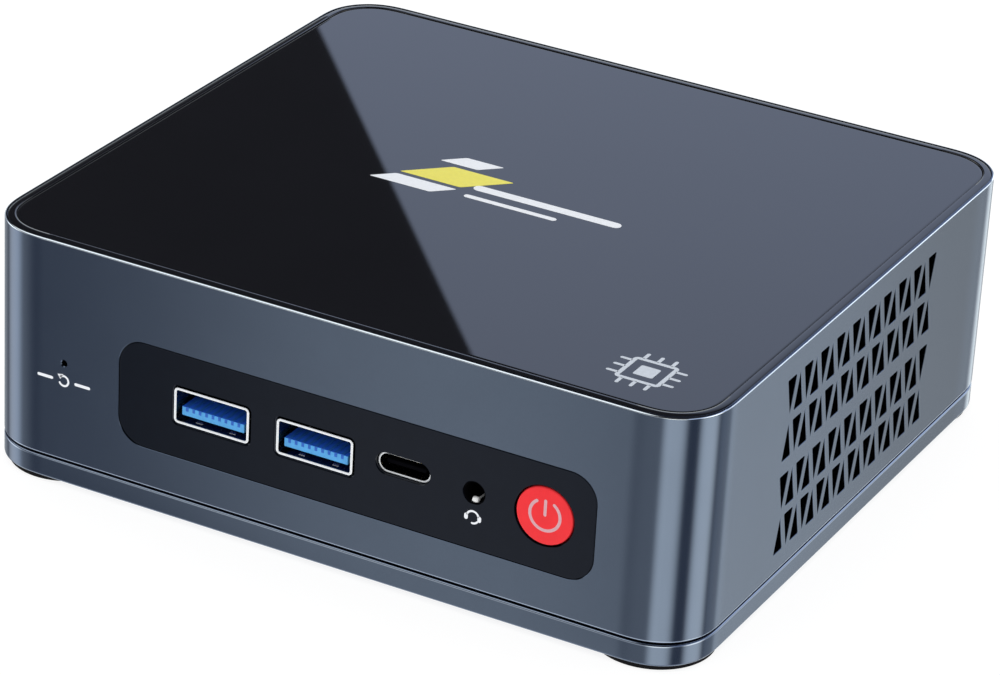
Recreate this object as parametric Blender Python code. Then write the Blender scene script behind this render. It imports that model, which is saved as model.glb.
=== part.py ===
"""A palm-sized desktop computer, built as an assembly of its separate pieces.

Run with: blender --background --python part.py
Metres, +Z up. The origin is on the table, under the middle of the case.
+X points to the right along the front wall, and +Y points to the rear.
"""

import math

import bmesh
import bpy
from mathutils import Matrix, Vector

MM = 0.001

# Case
BODY_WIDTH = 124 * MM
BODY_DEPTH = 113 * MM
BODY_BOTTOM = 0.9 * MM
BODY_TOP = 42.0 * MM
CORNER_RADIUS = 10 * MM
CORNER_STEPS = 8
WALL = 1.8 * MM
SEAM_LOW = 4.55 * MM
SEAM_HIGH = 4.85 * MM
ROOF_LOW = 39.2 * MM
ROOF_HIGH = 40.7 * MM
LID_MARGIN = 1.8 * MM
LID_RADIUS = 8.2 * MM
LID_TOP = 41.9 * MM
FLOOR_THICKNESS = 1.6 * MM
GAP = 0.2 * MM

# Corner columns, screws and feet share one axis at each corner
COLUMN_X = BODY_WIDTH / 2 - CORNER_RADIUS
COLUMN_Y = BODY_DEPTH / 2 - CORNER_RADIUS
COLUMN_RADIUS = 3.5 * MM
COLUMN_BOTTOM = 8.0 * MM
CORNERS = {
    "front_left": (-COLUMN_X, -COLUMN_Y),
    "front_right": (COLUMN_X, -COLUMN_Y),
    "rear_left": (-COLUMN_X, COLUMN_Y),
    "rear_right": (COLUMN_X, COLUMN_Y),
}
FOOT_RADIUS = 9.8 * MM
FOOT_HOLE_RADIUS = 3.0 * MM
FOOT_TOP = 0.75 * MM
SCREW_HEAD_RADIUS = 2.4 * MM
SCREW_SHANK_RADIUS = 1.2 * MM

# Triangle vents: (bottom, top, whether the row starts with a point at the bottom)
VENT_ROWS = (
    (31.8 * MM, 37.8 * MM, True),
    (24.3 * MM, 30.2 * MM, False),
    (15.65 * MM, 21.65 * MM, True),
    (8.4 * MM, 14.2 * MM, False),
)
REAR_VENT_ROWS = (
    (33.0 * MM, 38.0 * MM, True),
    (27.0 * MM, 32.0 * MM, False),
)
VENT_STEP = 2.858 * MM
VENT_BASE = 3.35 * MM
VENT_MIDDLE_Y = -0.7 * MM
SIDE_VENTS = 19
REAR_VENTS = 27
FLOOR_VENT_ROWS_Y = (-43.0 * MM, 43.0 * MM)
FLOOR_VENTS = 15
FLOOR_VENT_HEIGHT = 6.0 * MM

# Port panels, each let into a window of its wall
PANEL_RADIUS = 4.5 * MM
PANEL_THICKNESS = 2.0 * MM
PANEL_LIP = 1.2 * MM
PANEL_LIP_THICKNESS = 1.0 * MM
FRONT_PANEL = (-36.4 * MM, 46.0 * MM, 11.5 * MM, 29.3 * MM)
REAR_PANEL = (-48.2 * MM, 48.2 * MM, 8.4 * MM, 25.2 * MM)
FACE_DEPTH = 0.05 * MM

# Motherboard: the ports hang below it, the processor and blower stand above it
BOARD_LOW = 23.9 * MM
BOARD_HIGH = 25.5 * MM
BOARD_HALF_WIDTH = 56 * MM
BOARD_FRONT = -51.8 * MM
BOARD_REAR = 52.0 * MM
BOARD_NOTCH_X = 46.5 * MM
BOARD_NOTCH_Y = 41.0 * MM
BOARD_POSTS = {"left": (-52 * MM, -33 * MM), "right": (52 * MM, 33 * MM)}
POST_RADIUS = 2.5 * MM
HANG = BOARD_LOW - GAP

# Front controls and ports: centre (x, z)
POWER_BUTTON = (37.5 * MM, 20.65 * MM)
BUTTON_RADIUS = 4.72 * MM
BUTTON_CLEARANCE = 0.3 * MM
PINHOLE = (-46.4 * MM, 21.7 * MM)
PINHOLE_RADIUS = 0.5 * MM
AUDIO = (25.75 * MM, 21.0 * MM)
AUDIO_RADIUS = 1.9 * MM
USB_A_SIZE = (13.4 * MM, 6.1 * MM)
USB_A_FRONT = {"left": (-19.75 * MM, 20.47 * MM), "right": (-1.6 * MM, 20.47 * MM)}
USB_C = (13.65 * MM, 21.35 * MM)
USB_C_SIZE = (9.2 * MM, 3.5 * MM)

# Rear ports: centre x, each hanging from the board
DC_X = -41.8 * MM
DC_SIZE = (9.0 * MM, 11.0 * MM)
HDMI_X = {"left": -28.2 * MM, "right": -11.6 * MM}
HDMI_SIZE = (15.0 * MM, 5.7 * MM)
USB_A_REAR_X = 4.3 * MM
LAN_X = {"left": 20.7 * MM, "right": 38.3 * MM}
LAN_SIZE = (16.0 * MM, 13.5 * MM)

# Heatsink on the processor, with its fins at the rear vents
SINK_LOW = BOARD_HIGH + GAP + 1.5 * MM
SINK_HIGH = SINK_LOW + 1.8 * MM
SINK_REAR = 50.5 * MM
FIN_COUNT = 20
FIN_FRONT = 31.5 * MM
FIN_TOP = 37.5 * MM

# Blower above the heatsink
FAN_X = 6 * MM
FAN_Y = -2 * MM
FAN_CAVITY_RADIUS = 26 * MM
FAN_ROTOR_RADIUS = 24.5 * MM
FAN_BLADES = 15
FAN_LOW = SINK_HIGH + GAP
FAN_FLOOR = FAN_LOW + 0.9 * MM
FAN_WALL_TOP = 35.6 * MM
HUB_RADIUS = 11 * MM

# Cards below the board: their front and rear ends
CARD_FRONT = -36 * MM
CARD_REAR = -14 * MM

# Flat cable to the drive bay
RIBBON_WIDTH = 12 * MM
RIBBON_THICKNESS = 0.25 * MM

# Colour, roughness and metallic value of each finish
FINISHES = {
    "case_metal": ((0.085, 0.105, 0.145), 0.42, 0.75),
    "gloss_black": ((0.008, 0.009, 0.013), 0.08, 0.0),
    "panel_black": ((0.015, 0.017, 0.025), 0.45, 0.0),
    "foot_rubber": ((0.01, 0.01, 0.01), 0.85, 0.0),
    "button_red": ((0.85, 0.04, 0.05), 0.4, 0.0),
    "port_metal": ((0.62, 0.62, 0.63), 0.28, 1.0),
    "usb_blue": ((0.02, 0.16, 0.62), 0.45, 0.0),
    "socket_black": ((0.02, 0.02, 0.02), 0.55, 0.0),
    "contact_gold": ((0.78, 0.56, 0.2), 0.3, 1.0),
    "screw_steel": ((0.1, 0.1, 0.11), 0.4, 1.0),
    "board_green": ((0.01, 0.07, 0.05), 0.5, 0.0),
    "chip_black": ((0.03, 0.03, 0.035), 0.5, 0.0),
    "sink_metal": ((0.7, 0.71, 0.72), 0.35, 1.0),
    "fan_black": ((0.018, 0.018, 0.02), 0.5, 0.0),
    "cell_steel": ((0.6, 0.6, 0.58), 0.35, 1.0),
    "antenna_black": ((0.015, 0.015, 0.015), 0.6, 0.0),
    "flex_orange": ((0.62, 0.25, 0.05), 0.5, 0.0),
}

AXIS_TURNS = {
    "X": Matrix.Rotation(math.pi / 2, 4, "Y"),
    "Y": Matrix.Rotation(math.pi / 2, 4, "X"),
    "Z": Matrix.Identity(4),
}


# ---------------------------------------------------------------- shapes

def clear_scene():
    for item in list(bpy.data.objects):
        bpy.data.objects.remove(item, do_unlink=True)


def new_collection(name):
    collection = bpy.data.collections.new(name)
    bpy.context.scene.collection.children.link(collection)
    return collection


def finish(slot):
    """The Principled material of one finish, made the first time it is asked for."""
    if slot in bpy.data.materials:
        return bpy.data.materials[slot]
    colour, roughness, metallic = FINISHES[slot]
    material = bpy.data.materials.new(slot)
    material.use_nodes = True
    shader = material.node_tree.nodes["Principled BSDF"]
    shader.inputs["Base Color"].default_value = (*colour, 1.0)
    shader.inputs["Roughness"].default_value = roughness
    shader.inputs["Metallic"].default_value = metallic
    material.diffuse_color = (*colour, 1.0)
    return material


def block(low, high, radius=0.0, axis="Z", steps=4):
    """A box between two corners, with its four edges along axis rounded."""
    low = Vector(low)
    high = Vector(high)
    shape = bmesh.new()
    place = Matrix.Translation((low + high) / 2) @ Matrix.Diagonal((*(high - low), 1.0))
    bmesh.ops.create_cube(shape, size=1.0, matrix=place)
    if radius:
        along = "XYZ".index(axis)
        edges = [e for e in shape.edges if abs((e.verts[0].co - e.verts[1].co)[along]) > radius / 10]
        bmesh.ops.bevel(
            shape, geom=edges, offset=radius, segments=steps, affect="EDGES", profile=0.5
        )
    return shape


def centred(middle, size, radius=0.0, axis="Z", steps=4):
    """A box by its middle and its size."""
    half = Vector(size) / 2
    return block(Vector(middle) - half, Vector(middle) + half, radius, axis, steps)


def disc(centre, radius, length, axis="Z", steps=20):
    """A cylinder by its middle."""
    shape = bmesh.new()
    bmesh.ops.create_cone(
        shape,
        cap_ends=True,
        segments=steps,
        radius1=radius,
        radius2=radius,
        depth=length,
        matrix=Matrix.Translation(centre) @ AXIS_TURNS[axis],
    )
    return shape


def case_block(inset, low, high):
    """A block with the case's outline moved inwards by inset, from height low to high."""
    x = BODY_WIDTH / 2 - inset
    y = BODY_DEPTH / 2 - inset
    return block((-x, -y, low), (x, y, high), CORNER_RADIUS - inset, "Z", CORNER_STEPS)


def merged(shapes):
    mesh = bpy.data.meshes.new("merged")
    whole = bmesh.new()
    for shape in shapes:
        part = bpy.data.meshes.new("part")
        shape.to_mesh(part)
        shape.free()
        whole.from_mesh(part)
        bpy.data.meshes.remove(part)
    bmesh.ops.recalc_face_normals(whole, faces=whole.faces)
    whole.to_mesh(mesh)
    whole.free()
    return mesh


def solid(name, slot, shape, origin=None):
    """A named piece from one shape, with its origin at the shape's middle or at a given point."""
    mesh = merged([shape])
    if origin is None:
        low = Vector([min(v.co[i] for v in mesh.vertices) for i in range(3)])
        high = Vector([max(v.co[i] for v in mesh.vertices) for i in range(3)])
        origin = (low + high) / 2
    mesh.name = name
    mesh.transform(Matrix.Translation(-Vector(origin)))
    mesh.materials.append(finish(slot))
    mesh.shade_smooth()
    mesh.set_sharp_from_angle(angle=math.radians(30))
    piece = bpy.data.objects.new(name, mesh)
    piece.location = origin
    PARTS.objects.link(piece)
    return piece


def combine(piece, shapes, operation):
    """A Boolean modifier on piece, with a hidden helper object made of separate shapes."""
    helper = bpy.data.objects.new(f"{piece.name}_{operation.lower()}", merged(shapes))
    helper.hide_render = True
    helper.display_type = "WIRE"
    HELPERS.objects.link(helper)
    modifier = piece.modifiers.new(operation.title(), "BOOLEAN")
    modifier.operation = operation
    modifier.solver = "EXACT"
    modifier.object = helper


def cut(piece, *shapes):
    combine(piece, shapes, "DIFFERENCE")


def join(piece, *shapes):
    combine(piece, shapes, "UNION")


def triangle(middle, base, height, upright, depth, frame):
    """A triangular prism. frame turns the drawing plane's X and Y to the wall's directions."""
    turn = 1.0 if upright else -1.0
    shape = bmesh.new()
    across = base / math.sqrt(3)
    up = turn * height / 1.5
    drop = Matrix.Translation((0, -up / 4, 0))
    place = Matrix.Translation(middle) @ frame @ drop @ Matrix.Diagonal((across, up, depth, 1.0))
    bmesh.ops.create_cone(
        shape, cap_ends=True, segments=3, radius1=1.0, radius2=1.0, depth=1.0, matrix=place
    )
    return shape


def vent_row(middle, height, count, starts_down, depth, frame):
    """Alternating triangles in a row along the frame's first direction."""
    along = frame.to_3x3() @ Vector((1, 0, 0))
    first = Vector(middle) - along * VENT_STEP * (count - 1) / 2
    return [
        triangle(
            first + along * VENT_STEP * i,
            VENT_BASE,
            height,
            (i % 2 == 0) != starts_down,
            depth,
            frame,
        )
        for i in range(count)
    ]


# ---------------------------------------------------------------- case

def wall_vents():
    """The holes of both side walls and of the rear wall."""
    side_frame = Matrix(((0, 0, 1, 0), (1, 0, 0, 0), (0, 1, 0, 0), (0, 0, 0, 1)))
    rear_frame = Matrix(((1, 0, 0, 0), (0, 0, -1, 0), (0, 1, 0, 0), (0, 0, 0, 1)))
    depth = 3 * WALL
    shapes = []
    for low, high, starts_down in VENT_ROWS:
        for side in (-1, 1):
            middle = (side * (BODY_WIDTH - WALL) / 2, VENT_MIDDLE_Y, (low + high) / 2)
            shapes += vent_row(middle, high - low, SIDE_VENTS, starts_down, depth, side_frame)
    for low, high, starts_down in REAR_VENT_ROWS:
        middle = (0, (BODY_DEPTH - WALL) / 2, (low + high) / 2)
        shapes += vent_row(middle, high - low, REAR_VENTS, starts_down, depth, rear_frame)
    return shapes


def window(panel, side, margin, near, far):
    """A rounded block through a front (side -1) or rear (side 1) wall, with near and far
    measured inwards from the wall's outer face."""
    left, right, bottom, top = panel
    ends = sorted((side * (BODY_DEPTH / 2 - near), side * (BODY_DEPTH / 2 - far)))
    return block(
        (left - margin, ends[0], bottom - margin),
        (right + margin, ends[1], top + margin),
        PANEL_RADIUS + margin,
        "Y",
        6,
    )


def make_upper_shell():
    shell = solid("upper_shell", "case_metal", case_block(0, SEAM_HIGH, BODY_TOP))
    cut(shell, case_block(WALL, 0, ROOF_LOW))
    columns = [
        disc((x, y, (COLUMN_BOTTOM + ROOF_HIGH) / 2), COLUMN_RADIUS, ROOF_HIGH - COLUMN_BOTTOM)
        for x, y in CORNERS.values()
    ]
    post_bottom = BOARD_HIGH + GAP
    columns += [
        disc((x, y, (post_bottom + ROOF_HIGH) / 2), POST_RADIUS, ROOF_HIGH - post_bottom)
        for x, y in BOARD_POSTS.values()
    ]
    join(shell, *columns)
    screw_holes = [
        disc((x, y, COLUMN_BOTTOM + 4 * MM), SCREW_SHANK_RADIUS + GAP, 10 * MM, steps=16)
        for x, y in CORNERS.values()
    ]
    screw_holes += [
        disc((x, y, post_bottom + 3 * MM), SCREW_SHANK_RADIUS, 8 * MM, steps=16)
        for x, y in BOARD_POSTS.values()
    ]
    x, z = PINHOLE
    pinhole = disc((x, -BODY_DEPTH / 2, z), PINHOLE_RADIUS, 3 * WALL, "Y", 12)
    lid_recess = block(
        (-BODY_WIDTH / 2 + LID_MARGIN, -BODY_DEPTH / 2 + LID_MARGIN, ROOF_HIGH),
        (BODY_WIDTH / 2 - LID_MARGIN, BODY_DEPTH / 2 - LID_MARGIN, BODY_TOP + WALL),
        LID_RADIUS,
        "Z",
        CORNER_STEPS,
    )
    cut(
        shell,
        lid_recess,
        pinhole,
        window(FRONT_PANEL, -1, 0, -WALL, 2 * WALL),
        window(REAR_PANEL, 1, 0, -WALL, 2 * WALL),
        *screw_holes,
    )
    cut(shell, *wall_vents())


def make_top_panel():
    x = BODY_WIDTH / 2 - LID_MARGIN - GAP
    y = BODY_DEPTH / 2 - LID_MARGIN - GAP
    solid(
        "top_panel",
        "gloss_black",
        block((-x, -y, ROOF_HIGH + GAP), (x, y, LID_TOP), LID_RADIUS - GAP, "Z", CORNER_STEPS),
    )


def make_bottom_cover():
    """A shallow tray whose lip closes the seam from inside, with a screw boss at each corner."""
    floor_top = BODY_BOTTOM + FLOOR_THICKNESS
    lip_top = 6.9 * MM
    lip_inset = WALL + 0.3 * MM
    lip_thickness = 1.2 * MM
    boss_radius = 4.3 * MM
    boss_top = COLUMN_BOTTOM - GAP
    head_room = 3.4 * MM
    cover = solid("bottom_cover", "case_metal", case_block(0, BODY_BOTTOM, SEAM_LOW))
    join(cover, case_block(lip_inset, floor_top, lip_top))
    cut(cover, case_block(lip_inset + lip_thickness, floor_top, BODY_TOP))
    bosses = [
        disc((x, y, (BODY_BOTTOM + boss_top + MM) / 2), boss_radius, boss_top - BODY_BOTTOM - MM)
        for x, y in CORNERS.values()
    ]
    join(cover, *bosses)
    holes = [
        disc((x, y, boss_top / 2), SCREW_SHANK_RADIUS + GAP, 2 * boss_top, steps=16)
        for x, y in CORNERS.values()
    ]
    cut(cover, *holes)
    floor_frame = Matrix.Identity(4)
    vents = []
    for y in FLOOR_VENT_ROWS_Y:
        middle = (0, y, BODY_BOTTOM + FLOOR_THICKNESS / 2)
        vents += vent_row(middle, FLOOR_VENT_HEIGHT, FLOOR_VENTS, True, 3 * WALL, floor_frame)
    head_pockets = [
        disc((x, y, head_room / 2), SCREW_HEAD_RADIUS + 2 * GAP, head_room)
        for x, y in CORNERS.values()
    ]
    cut(cover, *head_pockets, *vents)


def make_feet():
    for name, (x, y) in CORNERS.items():
        ring = disc((x, y, FOOT_TOP / 2), FOOT_RADIUS, FOOT_TOP, steps=32)
        foot = solid(f"foot_{name}", "foot_rubber", ring)
        cut(foot, disc((x, y, 0), FOOT_HOLE_RADIUS, 4 * FOOT_TOP))


def make_screw(name, x, y, head_low, head_high, tip, head_radius, shank_radius):
    """An upright screw with its head down and a cross recess in the head."""
    middle = (head_low + head_high) / 2
    screw = solid(
        name,
        "screw_steel",
        disc((x, y, middle), head_radius, head_high - head_low, steps=16),
        (x, y, head_low),
    )
    join(screw, disc((x, y, (middle + tip) / 2), shank_radius, tip - middle, steps=10))
    slot_length = 1.2 * head_radius
    slot_width = 0.3 * head_radius
    slot_depth = 0.5 * (head_high - head_low)
    cut(screw, centred((x, y, head_low), (slot_length, slot_width, 2 * slot_depth)))
    cut(screw, centred((x, y, head_low), (slot_width, slot_length, 2 * slot_depth)))


def make_case_screws():
    head_low = 1.6 * MM
    head_high = 3.2 * MM
    tip = 14.5 * MM
    radii = (SCREW_HEAD_RADIUS, SCREW_SHANK_RADIUS)
    for name, (x, y) in CORNERS.items():
        make_screw(f"cover_screw_{name}", x, y, head_low, head_high, tip, *radii)
    board_head_low = 22.3 * MM
    board_tip = 31.0 * MM
    board_radii = (2.3 * MM, 1.0 * MM)
    for name, (x, y) in BOARD_POSTS.items():
        make_screw(f"board_screw_{name}", x, y, board_head_low, HANG, board_tip, *board_radii)


# ---------------------------------------------------------------- port panels

def port_hole(middle_x, middle_z, size, side, radius=0.0, margin=0.15 * MM):
    """A cutter for one port through a panel and its lip."""
    return centred(
        (middle_x, side * BODY_DEPTH / 2, middle_z),
        (size[0] + 2 * margin, 4 * (PANEL_THICKNESS + PANEL_LIP_THICKNESS), size[1] + 2 * margin),
        radius + margin if radius else 0.0,
        "Y",
    )


def hanging(size):
    """Height of the middle of a port whose top touches the board's underside."""
    return HANG - size[1] / 2


def make_panel(name, outline, side):
    """A panel plate that fills its window, with a wider lip behind the wall."""
    clearance = 0.15 * MM
    back = PANEL_THICKNESS + PANEL_LIP_THICKNESS
    front_block = window(outline, side, -clearance, 0, PANEL_THICKNESS + MM / 2)
    plate = solid(name, "panel_black", front_block)
    join(plate, window(outline, side, PANEL_LIP, PANEL_THICKNESS, back))
    return plate


def make_front_panel():
    panel = make_panel("front_panel", FRONT_PANEL, -1)
    button_x, button_z = POWER_BUTTON
    audio_x, audio_z = AUDIO
    wall_y = -BODY_DEPTH / 2
    skin = 1.1 * MM
    holes = [port_hole(x, z, USB_A_SIZE, -1, 0.6 * MM) for x, z in USB_A_FRONT.values()]
    holes += [
        port_hole(*USB_C, USB_C_SIZE, -1, USB_C_SIZE[1] / 2 - 0.01 * MM),
        disc((button_x, wall_y, button_z), BUTTON_RADIUS + BUTTON_CLEARANCE, 8 * MM, "Y", 32),
        disc((audio_x, wall_y, audio_z), AUDIO_RADIUS, 8 * MM, "Y"),
    ]
    cut(panel, *holes)
    nose_room = 2.9 * MM
    cut(panel, disc((audio_x, wall_y + skin + 2 * MM, audio_z), nose_room, 4 * MM, "Y"))


def make_rear_panel():
    panel = make_panel("rear_panel", REAR_PANEL, 1)
    holes = [
        port_hole(DC_X, hanging(DC_SIZE), DC_SIZE, 1),
        port_hole(USB_A_REAR_X, hanging(USB_A_SIZE), USB_A_SIZE, 1, 0.6 * MM),
    ]
    holes += [port_hole(x, hanging(HDMI_SIZE), HDMI_SIZE, 1, 0.8 * MM) for x in HDMI_X.values()]
    holes += [port_hole(x, hanging(LAN_SIZE), LAN_SIZE, 1) for x in LAN_X.values()]
    cut(panel, *holes)


# ---------------------------------------------------------------- ports

def port_block(x, z, size, side, near, far, radius=0.0):
    """A block behind a port's face: near and far are measured inwards from that face."""
    face = side * (BODY_DEPTH / 2 - FACE_DEPTH)
    ends = sorted((face - side * near, face - side * far))
    return block(
        (x - size[0] / 2, ends[0], z - size[1] / 2),
        (x + size[0] / 2, ends[1], z + size[1] / 2),
        radius,
        "Y",
    )


def make_sleeve(name, x, z, size, wall, length, side, radius):
    """A pressed metal sleeve, open at the panel and closed behind."""
    sleeve = solid(name, "port_metal", port_block(x, z, size, side, 0, length, radius))
    inner = (size[0] - 2 * wall, size[1] - 2 * wall)
    cut(sleeve, port_block(x, z, inner, side, -MM, length - wall, max(radius - wall, 0.1 * MM)))


def make_usb_a(name, x, z, side):
    """A USB-A socket: its sleeve, and its tongue carried by a block at the back."""
    length = 14.5 * MM
    wall = 0.5 * MM
    tongue_drop = 0.85 * MM
    tongue_size = (11.1 * MM, 1.7 * MM)
    make_sleeve(f"{name}_shell", x, z, USB_A_SIZE, wall, length, side, 0.6 * MM)
    tongue_front = 0.6 * MM
    tongue = solid(
        f"{name}_tongue",
        "usb_blue",
        port_block(x, z - tongue_drop, tongue_size, side, tongue_front, 11.5 * MM),
    )
    back_size = (USB_A_SIZE[0] - 2 * wall - 2 * GAP, USB_A_SIZE[1] - 2 * wall - 2 * GAP)
    join(tongue, port_block(x, z, back_size, side, 10.5 * MM, length - wall - GAP))


def make_usb_c():
    x, z = USB_C
    length = 8.0 * MM
    wall = 0.35 * MM
    radius = USB_C_SIZE[1] / 2 - 0.01 * MM
    make_sleeve("usb_c_shell", x, z, USB_C_SIZE, wall, length, -1, radius)
    tongue = solid(
        "usb_c_tongue",
        "socket_black",
        port_block(x, z, (6.7 * MM, 0.7 * MM), -1, 1.0 * MM, 6.5 * MM),
    )
    back_size = (7.2 * MM, USB_C_SIZE[1] - 2 * wall - 2 * GAP)
    join(tongue, port_block(x, z, back_size, -1, 6.0 * MM, length - wall - GAP))


def make_audio_jack():
    """A jack whose round nose stands behind the panel's skin, and its sprung contact."""
    x, z = AUDIO
    skin = 1.3 * MM
    body_front = 3.25 * MM
    body_back = 15 * MM
    body_size = (6.6 * MM, 5.4 * MM)
    nose_radius = 2.7 * MM
    nose_length = 3 * MM
    bore_radius = 1.85 * MM
    bore_length = 14 * MM
    body = port_block(x, hanging(body_size), body_size, -1, body_front, body_back)
    jack = solid("audio_jack", "socket_black", body)
    face = -BODY_DEPTH / 2
    nose_middle = face + skin + nose_length / 2
    join(jack, disc((x, nose_middle, z), nose_radius, nose_length, "Y"))
    cut(jack, disc((x, face + 5 * MM, z), bore_radius, bore_length, "Y"))
    floor = z - bore_radius
    strip_low = floor + 0.12 * MM
    strip_high = floor + 0.37 * MM
    strip = block(
        (x - 0.5 * MM, face + skin + 0.1 * MM, strip_low),
        (x + 0.5 * MM, face + 9 * MM, strip_high),
    )
    contact = solid("audio_jack_contact", "contact_gold", strip)
    bend = (x, face + skin + 0.7 * MM, strip_high)
    join(contact, disc(bend, 0.3 * MM, 0.9 * MM, "X", 12))


def make_dc_inlet():
    z = hanging(DC_SIZE)
    length = 14 * MM
    inlet = solid("dc_jack", "socket_black", port_block(DC_X, z, DC_SIZE, 1, 0, length))
    face = BODY_DEPTH / 2 - FACE_DEPTH
    bore_depth = 9.5 * MM
    bore_radius = 3.1 * MM
    cut(inlet, disc((DC_X, face, z), bore_radius, 2 * bore_depth, "Y"))
    pin_front = 1.0 * MM
    pin_radius = 1.0 * MM
    pin_length = bore_depth - pin_front - GAP
    pin_middle = face - pin_front - pin_length / 2
    pin = disc((DC_X, pin_middle, z), pin_radius, pin_length, "Y", 16)
    solid("dc_jack_pin", "port_metal", pin)


def make_hdmi(name, x):
    z = hanging(HDMI_SIZE)
    length = 12.0 * MM
    wall = 0.5 * MM
    make_sleeve(f"{name}_shell", x, z, HDMI_SIZE, wall, length, 1, 0.8 * MM)
    tongue = solid(
        f"{name}_tongue",
        "socket_black",
        port_block(x, z + 0.3 * MM, (11.0 * MM, 1.2 * MM), 1, 1.2 * MM, 9.5 * MM),
    )
    back_size = (HDMI_SIZE[0] - 2 * wall - 2 * GAP, HDMI_SIZE[1] - 2 * wall - 2 * GAP)
    join(tongue, port_block(x, z, back_size, 1, 9.0 * MM, length - wall - GAP))


def make_lan(name, x):
    """A network socket: a wide plug opening with a narrower latch way below it."""
    z = hanging(LAN_SIZE)
    opening = (11.8 * MM, 7.2 * MM)
    latch_way = (6.4 * MM, 3.4 * MM)
    depth = 12.5 * MM
    opening_z = z + 1.4 * MM
    socket = solid(name, "port_metal", port_block(x, z, LAN_SIZE, 1, 0, 16 * MM))
    cut(socket, port_block(x, opening_z, opening, 1, -MM, depth))
    latch_z = opening_z - opening[1] / 2 - latch_way[1] / 2 + MM
    cut(socket, port_block(x, latch_z, latch_way, 1, -MM, depth - MM))


def make_ports():
    for side_name, (x, z) in USB_A_FRONT.items():
        make_usb_a(f"usb_a_front_{side_name}", x, z, -1)
    make_usb_c()
    make_audio_jack()
    make_dc_inlet()
    for side_name, x in HDMI_X.items():
        make_hdmi(f"hdmi_{side_name}", x)
    make_usb_a("usb_a_rear", USB_A_REAR_X, hanging(USB_A_SIZE), 1)
    for side_name, x in LAN_X.items():
        make_lan(f"lan_{side_name}_port", x)


# ---------------------------------------------------------------- switches

def make_power_button():
    """A round cap with a retaining flange behind the panel, and the stem that pushes the switch."""
    x, z = POWER_BUTTON
    face = -BODY_DEPTH / 2
    flange_front = PANEL_THICKNESS + PANEL_LIP_THICKNESS + 0.3 * MM
    flange_back = flange_front + 0.8 * MM
    stem_back = flange_back + 1.1 * MM
    cap = disc((x, face + flange_back / 2, z), BUTTON_RADIUS, flange_back, "Y", 32)
    button = solid("power_button", "button_red", cap, (x, face, z))
    flange_middle = face + (flange_front + flange_back) / 2
    flange_radius = BUTTON_RADIUS + 1.1 * MM
    join(button, disc((x, flange_middle, z), flange_radius, flange_back - flange_front, "Y", 32))
    stem_radius = 1.2 * MM
    stem_length = 2 * MM
    stem_middle = face + stem_back - stem_length / 2
    join(button, disc((x, stem_middle, z), stem_radius, stem_length, "Y", 12))


def make_switch(name, x, z, plunger_front, body_front, body_size, plunger_radius):
    """A side-acting push switch hanging below the board, with its plunger pointing to the front."""
    face = -BODY_DEPTH / 2
    width, depth = body_size
    bottom = z - (HANG - z)
    box = block(
        (x - width / 2, face + body_front, bottom),
        (x + width / 2, face + body_front + depth, HANG),
    )
    body = solid(f"{name}_body", "socket_black", box)
    pocket = 2.0 * MM
    cut(body, disc((x, face + body_front, z), plunger_radius + 0.25 * MM, 2 * pocket, "Y", 20))
    plunger_back = body_front + pocket - 0.7 * MM
    plunger_middle = face + (plunger_front + plunger_back) / 2
    plunger_length = plunger_back - plunger_front
    plunger = disc((x, plunger_middle, z), plunger_radius, plunger_length, "Y", 20)
    solid(f"{name}_plunger", "chip_black", plunger, (x, face + plunger_front, z))


def make_switches():
    stem_back = PANEL_THICKNESS + PANEL_LIP_THICKNESS + 2.2 * MM
    plunger_front = stem_back + 0.1 * MM
    body_front = stem_back + MM
    body_size = (6 * MM, 4 * MM)
    make_switch("power_switch", *POWER_BUTTON, plunger_front, body_front, body_size, 1.5 * MM)
    small_size = (4.5 * MM, 3 * MM)
    make_switch("clear_switch", *PINHOLE, 3.9 * MM, 4.9 * MM, small_size, 0.9 * MM)


# ---------------------------------------------------------------- electronics

def board_components():
    """Coils, capacitors and small chips soldered to the upper side of the board."""
    top = BOARD_HIGH - 0.1 * MM
    pitch = 8 * MM
    height = 3.2 * MM
    coil_size = (6 * MM, 6 * MM, height)
    coil_y = -41 * MM
    capacitor_y = -47.5 * MM
    capacitor_radius = 2.2 * MM
    chip_size = (8 * MM, 8 * MM, 1.1 * MM)
    chip_places = ((-40 * MM, -8 * MM), (-40 * MM, 12 * MM), (47 * MM, -12 * MM))
    coils = [
        centred((pitch * i, coil_y, top + height / 2), coil_size) for i in (-1.5, -0.5, 0.5, 1.5)
    ]
    capacitors = [
        disc((pitch * i, capacitor_y, top + height / 2), capacitor_radius, height, steps=14)
        for i in (-2, -1, 0, 1, 2)
    ]
    chips = [centred((x, y, top + chip_size[2] / 2), chip_size) for x, y in chip_places]
    return coils + capacitors + chips


def make_motherboard():
    sheet = block(
        (-BOARD_HALF_WIDTH, BOARD_FRONT, BOARD_LOW),
        (BOARD_HALF_WIDTH, BOARD_REAR, BOARD_HIGH),
    )
    board = solid("motherboard", "board_green", sheet)
    far = BODY_WIDTH
    notches = [
        block(
            (min(sx * BOARD_NOTCH_X, sx * far), min(sy * BOARD_NOTCH_Y, sy * far), 0),
            (max(sx * BOARD_NOTCH_X, sx * far), max(sy * BOARD_NOTCH_Y, sy * far), BODY_TOP),
        )
        for sx in (-1, 1)
        for sy in (-1, 1)
    ]
    holes = [
        disc((x, y, BOARD_LOW), 1.3 * MM, 6 * MM, steps=16) for x, y in BOARD_POSTS.values()
    ]
    cut(board, *notches, *holes)
    join(board, *board_components())


def make_processor():
    base = BOARD_HIGH + GAP
    carrier_size = (35 * MM, 24 * MM, 0.8 * MM)
    die_size = (13 * MM, 10 * MM, 0.8 * MM)
    carrier = centred((FAN_X, FAN_Y, base + 0.4 * MM), carrier_size)
    package = solid("cpu_package", "chip_black", carrier)
    join(package, centred((FAN_X, FAN_Y, base + 0.9 * MM), die_size))


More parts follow.
